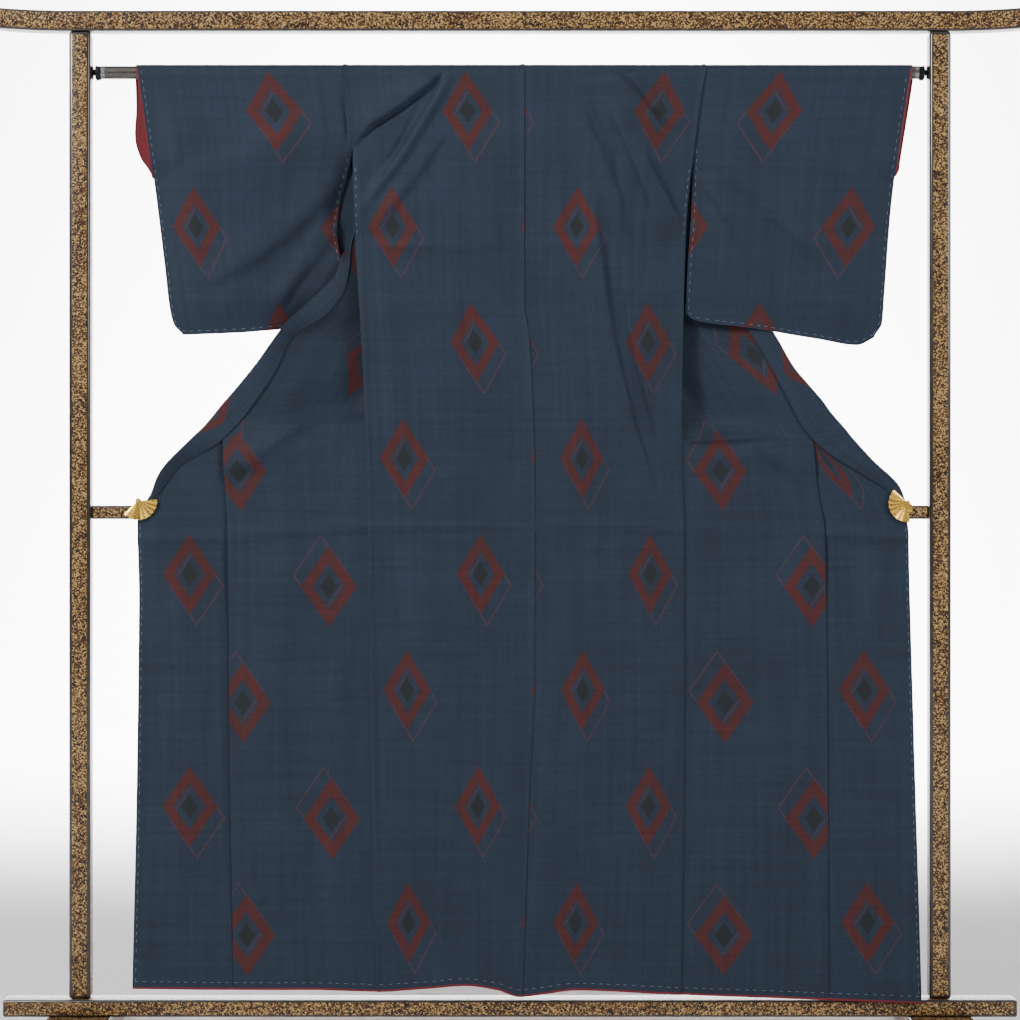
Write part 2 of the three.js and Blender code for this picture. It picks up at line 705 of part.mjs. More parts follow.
function sleeveGrid(side) {
  const shares = range(sleeveColumns + 1).map((k) => k / sleeveColumns);
  const wallRow = (level, face) => shares.map((share) => sleevePoint(side, share, level, face));
  const arcRow = ({ y, z }) => {
    const face = y / drapeRadius;
    return shares.map((share) => new THREE.Vector3(sleeveX(side, share, z, face), y, z));
  };
  return [
    ...wallLevels.map((level) => wallRow(level, -1)),
    ...rodArc.slice(0, -1).map(arcRow),
    ...[...wallLevels].reverse().map((level) => wallRow(level, 1)),
    wallRow(0, 0),
  ];
}

function sleeve(side) {
  const grid = sleeveGrid(side);
  return clothWall(side === "left" ? grid : turned(grid), { wraps: true });
}

const seamStep = 0.4;
const rollThickness = 1.6;
const cuffSeamEnd = 12;

// Lining rolled out at the cuff, made from the sleeve's own edge points
function cuffLining(side) {
  const { outward } = sleeves[side];
  const edge = sleeveGrid(side)
    .map((row) => row[0])
    .filter((point) => point.z > openingZ + cuffSeamEnd);
  const reaches = [cloth.cuffRoll + seamStep, seamStep];
  const grid = edge.map((point) =>
    reaches.map((reach) => point.clone().add(new THREE.Vector3(outward * reach, 0, 0))),
  );
  return clothWall(side === "left" ? grid : turned(grid), { thickness: rollThickness });
}

// Lining rolled out under the hem, made from the bottom points of the overlap, front and back panels
function hemLining(side) {
  const bottomOf = (grid) => grid[grid.length - 1];
  const edge = [
    ...bottomOf(overlapPoints(side)).slice(1).reverse(),
    ...bottomOf(frontPoints(side)).slice(1).reverse(),
    ...backPoints(side)[0],
  ];
  const grid = [seamStep, cloth.hemRoll + seamStep].map((drop) =>
    edge.map((point) => point.clone().add(new THREE.Vector3(0, 0, -drop))),
  );
  return clothWall(side === "left" ? turned(grid) : grid, { thickness: rollThickness });
}

// Stand pieces
function roundedBar(width, depth, length, bevel) {
  const shape = new THREE.Shape();
  const x = width / 2;
  const y = depth / 2;
  shape.moveTo(-x + bevel, -y);
  shape.lineTo(x - bevel, -y);
  shape.lineTo(x, -y + bevel);
  shape.lineTo(x, y - bevel);
  shape.lineTo(x - bevel, y);
  shape.lineTo(-x + bevel, y);
  shape.lineTo(-x, y - bevel);
  shape.lineTo(-x, -y + bevel);
  shape.closePath();
  return new THREE.ExtrudeGeometry(shape, { depth: length, bevelEnabled: false });
}

function post(name, x) {
  const { postSide, footHeight, baseHeight, topUnderside } = stand;
  const low = footHeight + baseHeight + 2 * seat;
  const geometry = roundedBar(postSide, postSide, topUnderside - seat - low, 4);
  addPiece(name, geometry, colours.lacquer).position.set(x, 0, low);
}

// A cross foot: flat pads at both ends, a shallow arch between, and sloped toes
const footShape = {
  pad: 95,
  archRise: 7,
  archRun: 10,
  toeHeight: 16,
  toeSlope: 90,
  toeCurve: 30,
  toeBow: 20,
};

function foot(name, x) {
  const { pad, archRise, archRun, toeHeight, toeSlope, toeCurve, toeBow } = footShape;
  const half = stand.footLength / 2;
  const shape = new THREE.Shape();
  shape.moveTo(-half, 0);
  shape.lineTo(-half + pad, 0);
  shape.lineTo(-half + pad + archRun, archRise);
  shape.lineTo(half - pad - archRun, archRise);
  shape.lineTo(half - pad, 0);
  shape.lineTo(half, 0);
  shape.lineTo(half, toeHeight);
  shape.quadraticCurveTo(half - toeCurve, toeBow, half - toeSlope, stand.footHeight);
  shape.lineTo(-half + toeSlope, stand.footHeight);
  shape.quadraticCurveTo(-half + toeCurve, toeBow, -half, toeHeight);
  shape.closePath();
  const settings = { depth: stand.footWidth, bevelEnabled: false, curveSegments: 6 };
  const geometry = new THREE.ExtrudeGeometry(shape, settings);
  geometry.rotateX(Math.PI / 2);
  geometry.rotateZ(Math.PI / 2);
  addPiece(name, geometry, colours.lacquer).position.set(x - stand.footWidth / 2, 0, 0);
}

function rail(name, length, height, depth, centreZ, chamfer) {
  const geometry = roundedBar(height, depth, length, chamfer);
  geometry.rotateY(Math.PI / 2);
  addPiece(name, geometry, colours.lacquer).position.set(-length / 2, 0, centreZ);
}

// The top rail's ends curve up past the posts
const topEnd = { start: 40, curve: 60, bow: 2, slant: 8 };

function topRail() {
  const { topLength, topHeight, topDepth, topUnderside, topEndRise } = stand;
  const half = topLength / 2;
  const turn = postX + topEnd.start;
  const knee = half - topEnd.curve;
  const shape = new THREE.Shape();
  shape.moveTo(-turn, 0);
  shape.lineTo(turn, 0);
  shape.quadraticCurveTo(knee, topEnd.bow, half - topEnd.slant, topEndRise);
  shape.lineTo(half, topEndRise + topHeight);
  shape.quadraticCurveTo(knee, topHeight + topEnd.bow, turn, topHeight);
  shape.lineTo(-turn, topHeight);
  shape.quadraticCurveTo(-knee, topHeight + topEnd.bow, -half, topEndRise + topHeight);
  shape.lineTo(-half + topEnd.slant, topEndRise);
  shape.quadraticCurveTo(-knee, topEnd.bow, -turn, 0);
  const settings = { depth: topDepth, bevelEnabled: false, curveSegments: 6 };
  const geometry = new THREE.ExtrudeGeometry(shape, settings);
  geometry.rotateX(Math.PI / 2);
  addPiece("top_rail", geometry, colours.lacquer).position.set(0, topDepth / 2, topUnderside);
}

function hangingRod() {
  const geometry = new THREE.CylinderGeometry(stand.rodRadius, stand.rodRadius, stand.rodLength, 24);
  geometry.rotateZ(Math.PI / 2);
  addPiece("hanging_rod", geometry, colours.rodMetal).position.set(0, 0, stand.rodZ);
}

function solidFrom(geometry) {
  const plain = geometry.index ? geometry.toNonIndexed() : geometry.clone();
  plain.deleteAttribute("normal");
  plain.deleteAttribute("uv");
  const merged = mergeVertices(plain, 1e-3);
  return new wasm.Manifold(
    new wasm.Mesh({
      numProp: 3,
      vertProperties: merged.attributes.position.array,
      triVerts: new Uint32Array(merged.index.array),
    }),
  );
}

function geometryFrom(solid) {
  const mesh = solid.getMesh();
  const geometry = new THREE.BufferGeometry();
  geometry.setAttribute("position", new THREE.BufferAttribute(mesh.vertProperties, 3));
  geometry.setIndex(new THREE.BufferAttribute(mesh.triVerts, 1));
  geometry.computeVertexNormals();
  return geometry;
}

// A cup on a stem holds each rod end. Its top is cut open, so that the rod lifts out.
const hook = { wall: 3.5, lip: 8, floor: 3, stemRadius: 5, flangeRadius: 12, flange: 3 };

function rodHook(name, outward) {
  const { wall, lip, floor, stemRadius, flangeRadius, flange } = hook;
  const rim = stand.rodRadius + seat;
  const reach = postInner - stand.rodLength / 2; // from the rod's end to the post
  const profile = [
    [0, seat],
    [rim, seat],
    [rim, -lip],
    [rim + wall, -lip],
    [rim + wall, seat + floor],
    [stemRadius, seat + floor],
    [stemRadius, reach - flange],
    [flangeRadius, reach - flange],
    [flangeRadius, reach - seat],
    [0, reach - seat],
  ].map(([radius, along]) => new THREE.Vector2(radius, along));
  const cup = new THREE.LatheGeometry(profile, 24);
  const gap = new THREE.BoxGeometry(2 * rim - floor, 4 * lip, 4 * lip);
  gap.translate(0, seat - 2 * lip, 2 * lip + floor);
  const open = solidFrom(cup).subtract(solidFrom(gap));
  const geometry = geometryFrom(open);
  geometry.rotateZ(outward > 0 ? -Math.PI / 2 : Math.PI / 2);
  const piece = addPiece(name, geometry, colours.rodMetal);
  piece.position.set((outward * stand.rodLength) / 2, 0, stand.rodZ);
}

// A pleated metal fan with a strap over the middle rail, which grips the collar's end
const fan = {
  radius: 33,
  hub: 5,
  pleats: 9,
  sweep: 142,
  thickness: 1.6,
  pleatDepth: 1.8,
  clearance: 2.2, // in front of the collar's end
};
const strapBand = { thickness: 1.8, width: 9, backDrop: 8, offset: 4, sink: 0.6 };
// Where each fan's hub is, and the direction in which it opens, in degrees from +X towards +Z
const clips = {
  left: { x: -650, z: 938, opens: -67 },
  right: { x: 695, z: 934, opens: -154 },
};

function fanClip(name, side) {
  const { x, z: hubZ, opens } = clips[side];
  const { outward } = sleeves[side];
  const front = hangY(stand.midCentreZ) - cloth.thickness / 2 - lap - fan.pleatDepth - fan.clearance;
  const steps = fan.pleats * 2;
  const grid = [fan.hub, fan.radius * 0.55, fan.radius].map((radius) =>
    range(steps + 1).map((k) => {
      const degrees = opens + fan.sweep / 2 - (fan.sweep * k) / steps;
      const angle = THREE.MathUtils.degToRad(degrees);
      const pleat = (k % 2 ? -1 : 1) * fan.pleatDepth * 0.5 * (radius / fan.radius);
      return new THREE.Vector3(radius * Math.cos(angle), pleat, radius * Math.sin(angle));
    }),
  );
  const leaf = clothWall(grid, { thickness: fan.thickness });
  const back = stand.midDepth / 2 + seat;
  const over = stand.midHeight / 2 + seat;
  const near = front + strapBand.sink;
  const strap = new THREE.Shape();
  strap.moveTo(near, 0);
  strap.lineTo(near + strapBand.thickness, 0);
  strap.lineTo(near + strapBand.thickness, over);
  strap.lineTo(back, over);
  strap.lineTo(back, -strapBand.backDrop);
  strap.lineTo(back + strapBand.thickness, -strapBand.backDrop);
  strap.lineTo(back + strapBand.thickness, over + strapBand.thickness);
  strap.lineTo(near, over + strapBand.thickness);
  strap.closePath();
  const band = new THREE.ExtrudeGeometry(strap, { depth: strapBand.width, bevelEnabled: false });
  band.rotateX(Math.PI / 2);
  band.rotateZ(Math.PI / 2);
  band.translate(outward * strapBand.offset - strapBand.width / 2, 0, stand.midCentreZ);
  leaf.translate(0, front, hubZ);
  const solid = solidFrom(leaf).add(solidFrom(band));
  addPiece(name, geometryFrom(solid), colours.gold).position.set(x, 0, 0);
}

for (const side of ["left", "right"]) {
  const x = sleeves[side].outward * postX;
  foot(`foot_${side}`, x);
  post(`post_${side}`, x);
  rodHook(`rod_hook_${side}`, sleeves[side].outward);
}
const baseZ = stand.footHeight + seat + stand.baseHeight / 2;
rail("base_rail", stand.baseLength, stand.baseHeight, stand.baseDepth, baseZ, 4);
rail("mid_rail", 2 * (postInner - seat), stand.midHeight, stand.midDepth, stand.midCentreZ, 3);
topRail();
hangingRod();
fanClip("clip_left", "left");
fanClip("clip_right", "right");

for (const side of ["left", "right"]) {
  addPiece(`body_${side}`, bodyPanel(side), colours.silk);
  addPiece(`sleeve_${side}`, sleeve(side), colours.silk);
  const overlap = overlapPoints(side);
  addPiece(`okumi_${side}`, clothWall(side === "left" ? overlap : turned(overlap)), colours.silk);
  addPiece(`cuff_lining_${side}`, cuffLining(side), colours.lining);
  addPiece(`hem_lining_${side}`, hemLining(side), colours.lining);
}
addPiece("collar", collar(), colours.silk);

export default kimono;
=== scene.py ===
import math
import random
import bpy
from mathutils import Matrix, Vector, noise


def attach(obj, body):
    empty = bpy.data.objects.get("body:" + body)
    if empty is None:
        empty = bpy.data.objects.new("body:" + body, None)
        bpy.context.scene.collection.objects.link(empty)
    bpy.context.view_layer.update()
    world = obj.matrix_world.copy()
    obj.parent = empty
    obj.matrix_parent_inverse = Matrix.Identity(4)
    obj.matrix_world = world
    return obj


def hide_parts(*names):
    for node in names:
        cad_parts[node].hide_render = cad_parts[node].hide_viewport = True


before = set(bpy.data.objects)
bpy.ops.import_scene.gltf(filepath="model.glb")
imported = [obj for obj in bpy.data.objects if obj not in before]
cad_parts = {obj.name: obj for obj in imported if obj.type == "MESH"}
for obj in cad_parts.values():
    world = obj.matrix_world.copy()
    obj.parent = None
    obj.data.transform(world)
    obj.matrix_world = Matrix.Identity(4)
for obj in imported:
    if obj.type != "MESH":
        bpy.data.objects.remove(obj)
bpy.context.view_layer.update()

scene = bpy.context.scene
mm = 0.001  # the garment's tables are in millimetres
print("frame loaded:", len(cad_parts), "CAD nodes")


# Small helpers

def clearSelection():
    if bpy.context.object and bpy.context.object.mode != "OBJECT":
        bpy.ops.object.mode_set(mode="OBJECT")
    bpy.ops.object.select_all(action="DESELECT")


def pick(obj):
    clearSelection()
    obj.select_set(True)
    bpy.context.view_layer.objects.active = obj


def added(name):
    # the object that the last operator added, under its name
    obj = bpy.context.object
    obj.name = obj.data.name = name
    return obj


def settle(obj):
    # leaves the object at the origin, with its place in its mesh
    pick(obj)
    bpy.ops.object.transform_apply(location=True, rotation=True, scale=True)


def editMode(obj, kind="FACE", action="DESELECT"):
    # goes into edit mode with everything or nothing selected
    pick(obj)
    bpy.ops.object.mode_set(mode="EDIT")
    bpy.ops.mesh.select_mode(type=kind)
    bpy.ops.mesh.select_all(action=action)


def objectMode():
    bpy.ops.object.mode_set(mode="OBJECT")


def selectFaces(obj, chosen):
    # leaves the object in edit mode with the chosen faces selected
    editMode(obj)
    objectMode()
    for polygon in obj.data.polygons:
        polygon.select = chosen(polygon)
    bpy.ops.object.mode_set(mode="EDIT")


def paint(obj, *materials):
    obj.data.materials.clear()
    for material in materials:
        obj.data.materials.append(material)


def addModifier(obj, kind, **values):
    pick(obj)
    modifier = obj.modifiers.new(kind.title(), kind)
    for key, value in values.items():
        setattr(modifier, key, value)
    bpy.ops.object.modifier_apply(modifier=modifier.name)


def bevelEdges(obj, width, segments, degrees=30, **values):
    addModifier(obj, "BEVEL", width=width, segments=segments, limit_method="ANGLE",
                angle_limit=math.radians(degrees), **values)


def smooth(obj, degrees=40):
    pick(obj)
    bpy.ops.object.shade_smooth_by_angle(angle=math.radians(degrees))


def mix(a, b, t):
    return a + (b - a) * t


def ease(value, low, high):
    t = min(1.0, max(0.0, (value - low) / (high - low)))
    return t * t * (3 - 2 * t)


def curveThrough(rows):
    # a smooth line through rows of (place, value, value...), with no overshoot between them
    rows = sorted(rows)
    places = [row[0] for row in rows]
    columns = list(zip(*[row[1:] for row in rows]))
    slopes = []
    for values in columns:
        steps = [(values[k + 1] - values[k]) / (places[k + 1] - places[k]) for k in range(len(rows) - 1)]
        tangents = [steps[0]]
        for a, b in zip(steps, steps[1:]):
            tangents.append(0.0 if a * b <= 0 else 2 * a * b / (a + b))
        slopes.append(tangents + [steps[-1]])

    def read(place):
        place = min(max(place, places[0]), places[-1])
        k = 0
        while k < len(places) - 2 and place > places[k + 1]:
            k += 1
        width = places[k + 1] - places[k]
        t = (place - places[k]) / width
        fromValue, fromSlope = 2 * t ** 3 - 3 * t ** 2 + 1, t ** 3 - 2 * t ** 2 + t
        toValue, toSlope = 3 * t ** 2 - 2 * t ** 3, t ** 3 - t ** 2
        found = []
        for values, tangents in zip(columns, slopes):
            found.append(fromValue * values[k] + fromSlope * width * tangents[k]
                         + toValue * values[k + 1] + toSlope * width * tangents[k + 1])
        return found if len(found) > 1 else found[0]
    return read


# Materials

class NodeSheet:
    # a new material, with short words for building its nodes
    def __init__(self, name):
        self.material = bpy.data.materials.new(name)
        self.material.use_nodes = True
        self.tree = self.material.node_tree
        self.tree.nodes.clear()
        output = self.tree.nodes.new("ShaderNodeOutputMaterial")
        self.shader = self.tree.nodes.new("ShaderNodeBsdfPrincipled")
        self.tree.links.new(self.shader.outputs[0], output.inputs[0])

    def feed(self, value, socket):
        if isinstance(value, bpy.types.NodeSocket):
            self.tree.links.new(value, socket)
        else:
            socket.default_value = value

    def node(self, kind, inputs, output=0, **settings):
        # adds a node, feeds its inputs by number or name, and returns one of its outputs
        node = self.tree.nodes.new("ShaderNode" + kind)
        for key, value in settings.items():
            setattr(node, key, value)
        for socket, value in inputs.items():
            self.feed(value, node.inputs[socket])
        return node.outputs[output]

    def math(self, operation, *values):
        return self.node("Math", dict(enumerate(values)), operation=operation)

    def plus(self, first, second):
        return self.math("ADD", first, second)

    def minus(self, first, second):
        return self.math("SUBTRACT", first, second)

    def times(self, first, second):
        return self.math("MULTIPLY", first, second)

    def over(self, first, second):
        return self.math("DIVIDE", first, second)

    def ramp(self, value, low, high, toLow=0.0, toHigh=1.0):
        values = dict(enumerate((value, low, high, toLow, toHigh)))
        return self.node("MapRange", values, interpolation_type="SMOOTHSTEP")

    def blend(self, share, first, second):
        return self.node("Mix", {0: share, 6: first, 7: second}, 2, data_type="RGBA")

    def noise(self, place, scale, detail=3.0, roughness=0.55, output="Fac"):
        values = {"Scale": scale, "Detail": detail, "Roughness": roughness, "Vector": place}
        return self.node("TexNoise", values, output)

    def part(self, vector, axis):
        return self.node("SeparateXYZ", {0: vector}, axis)

    def cell(self, place, scale):
        # one random value for each cell
        return self.part(self.node("TexVoronoi", {"Scale": scale, "Vector": place}, "Color"), 0)

    def vectorMath(self, operation, first, second):
        return self.node("VectorMath", {0: first, 1: second}, operation=operation)

    def stretched(self, place, scale):
        return self.node("Mapping", {"Vector": place, "Scale": scale})

    def objectPlace(self):
        return self.node("TexCoord", {}, "Object")

    def clothPlace(self):
        return self.node("UVMap", {}, uv_map="cloth")

    def bump(self, height, distance, strength=1.0):
        values = {"Strength": strength, "Distance": distance, "Height": height}
        self.feed(self.node("Bump", values), self.shader.inputs["Normal"])

    def set(self, **values):
        names = {"color": "Base Color", "rough": "Roughness", "metal": "Metallic",
                 "coat": "Coat Weight", "coatRough": "Coat Roughness", "sheen": "Sheen Weight",
                 "sheenRough": "Sheen Roughness", "sheenTint": "Sheen Tint",
                 "specular": "Specular IOR Level"}
        for key, value in values.items():
            self.feed(value, self.shader.inputs[names[key]])


silkLook = {  # lengths in metres
    "ground": (0.0038, 0.0066, 0.0125, 1),
    "dot": (0.031, 0.066, 0.130, 1),
    "redGround": (0.018, 0.004, 0.005, 1),
    "redDot": (0.18, 0.024, 0.022, 1),
    "charcoal": (0.008, 0.010, 0.013, 1),
    "dullRed": (0.060, 0.020, 0.034, 1),
    "dotWide": 0.0034,
    "dotTall": 0.0030,
    "columnPitch": 0.142,
    "rowPitch": 0.405,
    "lozengeWide": 0.046,  # half the width and height of a lozenge
    "lozengeTall": 0.070,
    "ringFrom": 0.58,  # where the ring, heart and outline start and end, as shares of the lozenge
    "heartTo": (0.30, 0.33),
    "outline": (0.955, 1.015),
    "outlineShift": (0.012, -0.020),
}


def silkMaterial():
    # near-black ground with rows of small staggered dots, and lozenge rings in half drop
    look = silkLook
    n = NodeSheet("navy dotted silk")
    place = n.clothPlace()
    u, v = n.part(place, 0), n.part(place, 1)
    wobble = n.times(n.minus(n.noise(place, 260.0, 2.0), 0.5), 0.004)

    # which lozenge this point belongs to: columns drop by half a pitch in turn
    column = n.over(u, look["columnPitch"])
    columnIndex = n.math("FLOOR", column)
    across = n.times(n.minus(n.math("FRACT", column), 0.5), look["columnPitch"])
    drop = n.times(n.math("MODULO", n.math("ABSOLUTE", columnIndex), 2.0), 0.5)
    row = n.plus(n.over(v, look["rowPitch"]), drop)
    along = n.times(n.minus(n.math("FRACT", row), 0.5), look["rowPitch"])

    def lozenge(shiftX, shiftY):
        x = n.math("ABSOLUTE", n.minus(n.plus(across, wobble), shiftX))
        y = n.math("ABSOLUTE", n.minus(along, shiftY))
        return n.plus(n.over(x, look["lozengeWide"]), n.over(y, look["lozengeTall"]))

    def band(distance, low, high, soft=0.02):
        rise = n.ramp(distance, low - soft, low + soft)
        return n.times(rise, n.ramp(distance, high - soft, high + soft, 1.0, 0.0))

    main = lozenge(0.0, 0.0)
    ring = band(main, look["ringFrom"], 1.0)
    centre = n.ramp(main, *look["heartTo"], 1.0, 0.0)
    echo = lozenge(*look["outlineShift"])
    outline = n.times(band(echo, *look["outline"], 0.012), n.minus(1.0, ring))

    # the dots of the weave
    turnsU = n.math("COSINE", n.times(u, 2 * math.pi / look["dotWide"]))
    turnsV = n.math("COSINE", n.times(v, 2 * math.pi / look["dotTall"]))
    dots = n.ramp(n.times(turnsU, turnsV), 0.10, 0.55)

    # slow changes of shade along the warp and weft, as in a dyed yarn
    warp = n.noise(n.stretched(place, (90.0, 3.0, 1.0)), 1.0, 4.0, 0.6)
    weft = n.noise(n.stretched(place, (4.0, 120.0, 1.0)), 1.0, 4.0, 0.6)
    cloud = n.noise(place, 7.0, 3.0)
    shade = n.plus(n.times(warp, 0.5), n.times(weft, 0.5))
    shade = n.ramp(n.plus(n.times(shade, 0.75), n.times(cloud, 0.25)), 0.3, 0.7, 0.55, 1.45)

    dotShare = n.times(dots, n.times(shade, 0.8))
    navy = n.blend(dotShare, look["ground"], look["dot"])
    red = n.blend(n.times(dots, n.times(shade, 0.85)), look["redGround"], look["redDot"])
    color = n.blend(ring, navy, red)
    color = n.blend(centre, color, look["charcoal"])
    color = n.blend(n.times(outline, 0.8), color, look["dullRed"])
    n.set(color=color, rough=0.70, specular=0.32, sheen=0.12, sheenRough=0.45,
          sheenTint=(0.55, 0.68, 0.85, 1))
    fine = n.noise(n.stretched(place, (2400.0, 700.0, 1.0)), 1.0, 2.0)
    height = n.plus(n.times(dots, 0.7), n.times(fine, 0.5))
    n.bump(height, 0.00025, 0.7)
    return n.material


def liningMaterial():
    n = NodeSheet("crimson lining silk")
    place = n.clothPlace()
    warp = n.noise(n.stretched(place, (140.0, 6.0, 1.0)), 1.0, 4.0)
    cloud = n.noise(place, 5.0, 3.0)
    shade = n.ramp(n.plus(n.times(warp, 0.5), n.times(cloud, 0.5)), 0.3, 0.7)
    color = n.blend(shade, (0.100, 0.004, 0.008, 1), (0.175, 0.008, 0.015, 1))
    n.set(color=color, rough=0.55, specular=0.35, sheen=0.1, sheenRough=0.4, sheenTint=(1.0, 0.6, 0.6, 1))
    weave = n.noise(n.stretched(place, (1800.0, 1500.0, 1.0)), 1.0, 2.0)
    n.bump(weave, 0.0002, 0.5)
    return n.material


lacquerLook = {
    "black": (0.006, 0.004, 0.0035, 1),
    "brown": (0.120, 0.050, 0.017, 1),
    "gold": (0.42, 0.27, 0.10, 1),
    "flakesPerMetre": 480.0,
    "wander": 0.0022,
}


def lacquerMaterial():
    # black lacquer sown with brown and gold flakes, under a clear coat
    look = lacquerLook
    n = NodeSheet("speckled lacquer")
    place = n.objectPlace()
    drift = n.vectorMath("SUBTRACT", n.noise(place, 520.0, 2.0, 0.5, "Color"), (0.5,) * 3)
    drift = n.vectorMath("MULTIPLY", drift, (look["wander"],) * 3)
    flake = n.cell(n.vectorMath("ADD", place, drift), look["flakesPerMetre"])
    patches = n.noise(place, 22.0, 2.0)
    chance = n.plus(flake, n.times(n.minus(patches, 0.5), 0.5))
    color = n.blend(n.ramp(chance, 0.34, 0.46), look["black"], look["brown"])
    color = n.blend(n.ramp(chance, 0.66, 0.78), color, look["gold"])
    n.set(color=color, rough=0.45, specular=0.3, coat=0.2, coatRough=0.15)
    n.bump(flake, 0.00012, 0.3)
    return n.material


def edgeShadeLacquer():
    # black along the bevelled edges, painted shade where the rounded edges turn from the light, rubbed brown
    # in places
    n = NodeSheet("lacquer edge with painted shade")
    place = n.objectPlace()
    rubbed = n.ramp(n.noise(place, 75.0, 4.0), 0.52, 0.66)
    color = n.blend(rubbed, (0.012, 0.009, 0.008, 1), (0.050, 0.026, 0.015, 1))
    n.set(color=color, rough=0.30, specular=0.5, coat=0.8, coatRough=0.08)
    n.bump(n.noise(place, 300.0, 2.0), 0.00006, 0.3)
    return n.material


def threadMaterial():
    n = NodeSheet("white basting cotton")
    twist = n.noise(n.objectPlace(), 1400.0, 2.0)
    n.set(color=n.blend(twist, (0.18, 0.22, 0.27, 1), (0.38, 0.43, 0.50, 1)), rough=0.8, specular=0.2)
    n.bump(twist, 0.0001, 0.5)
    return n.material


def metalMaterial(name, color, rough, scale=300.0):
    n = NodeSheet(name)
    place = n.objectPlace()
    wear = n.noise(place, scale, 4.0)
    darker = tuple(0.7 * c for c in color[:3]) + (1,)
    n.set(color=n.blend(n.ramp(wear, 0.35, 0.65), darker, color), metal=1.0,
          rough=n.ramp(wear, 0.3, 0.7, rough, rough + 0.15))
    n.bump(wear, 0.00005, 0.3)
    return n.material


silk = silkMaterial()
lining = liningMaterial()
lacquer = lacquerMaterial()
# dark lacquer for the bevelled edges: painted shade
lacquerEdgeShade = edgeShadeLacquer()
thread = threadMaterial()
rodMetal = metalMaterial("dark rod metal", (0.16, 0.145, 0.135, 1), 0.28)
hookMetal = metalMaterial("black hook metal", (0.03, 0.03, 0.032, 1), 0.35)
steel = metalMaterial("cap steel", (0.34, 0.34, 0.35, 1), 0.25)
gilt = metalMaterial("gilt", (0.86, 0.52, 0.10, 1), 0.20, 500.0)
print("materials made")

# The garment's lines, in millimetres, as in the solids

hemLevel = 85
rodZ = 1689.7
neckZ = 1690  # where the collar's seams leave the back of the neck
drapeRadius = 13.1  # of the cloth's middle round the rod
arcLength = math.pi * drapeRadius
lap = 2.4  # how far a front lies behind the back panel
seamTop = 1048  # above this height the front's edge follows the collar
sectionsEnd = 980  # below this height the fronts hang straight
panelWidth, frontPanelWidth, okumiWidth, sleeveWidth = 316, 236, 160, 340
outwardOf = {"left": -1, "right": 1}
# the hang of the cloth: height and how far it stands before the rod's axis
hang = {"rod": (rodZ, -drapeRadius), "middle": (918, -14.2), "hem": (66, -31.5)}

centreSeam = curveThrough([(1703, 24), (1290, 24), (1220, 33), (954, 42), (625, 42), (436, 33), (79, 21)])
sideSeam = {
    "left": curveThrough([(1703, -294), (1568, -276), (1409, -272), (1237, -261), (1097, -254), (887, -248),
                          (511, -243), (91, -233)]),
    "right": curveThrough([(1703, 345), (1632, 332), (1561, 323), (1409, 308), (1237, 303), (1045, 300),
                           (887, 304), (511, 303), (86, 298)]),
}
overlapSeam = {
    "left": curveThrough([(1048, -503), (966, -499), (887, -494), (511, -490), (89, -482)]),
    "right": curveThrough([(1048, 530), (966, 537), (887, 550), (511, 555), (77, 556)]),
}
overlapEdge = {
    "left": curveThrough([(1045, -511), (1001, -579), (975, -600), (950, -616), (928, -637), (900, -652),
                          (765, -649), (436, -652), (91, -658)]),
    "right": curveThrough([(1045, 537), (1017, 572), (990, 616), (954, 667), (928, 685), (894, 697),
                           (802, 699), (65, 718)]),
}
hemLine = curveThrough([(-658, 91), (-480, 89), (-343, 89), (-231, 86), (-145, 91), (-77, 96), (-23, 89),
                        (16, 77), (40, 79), (117, 88), (261, 82), (718, 65)])

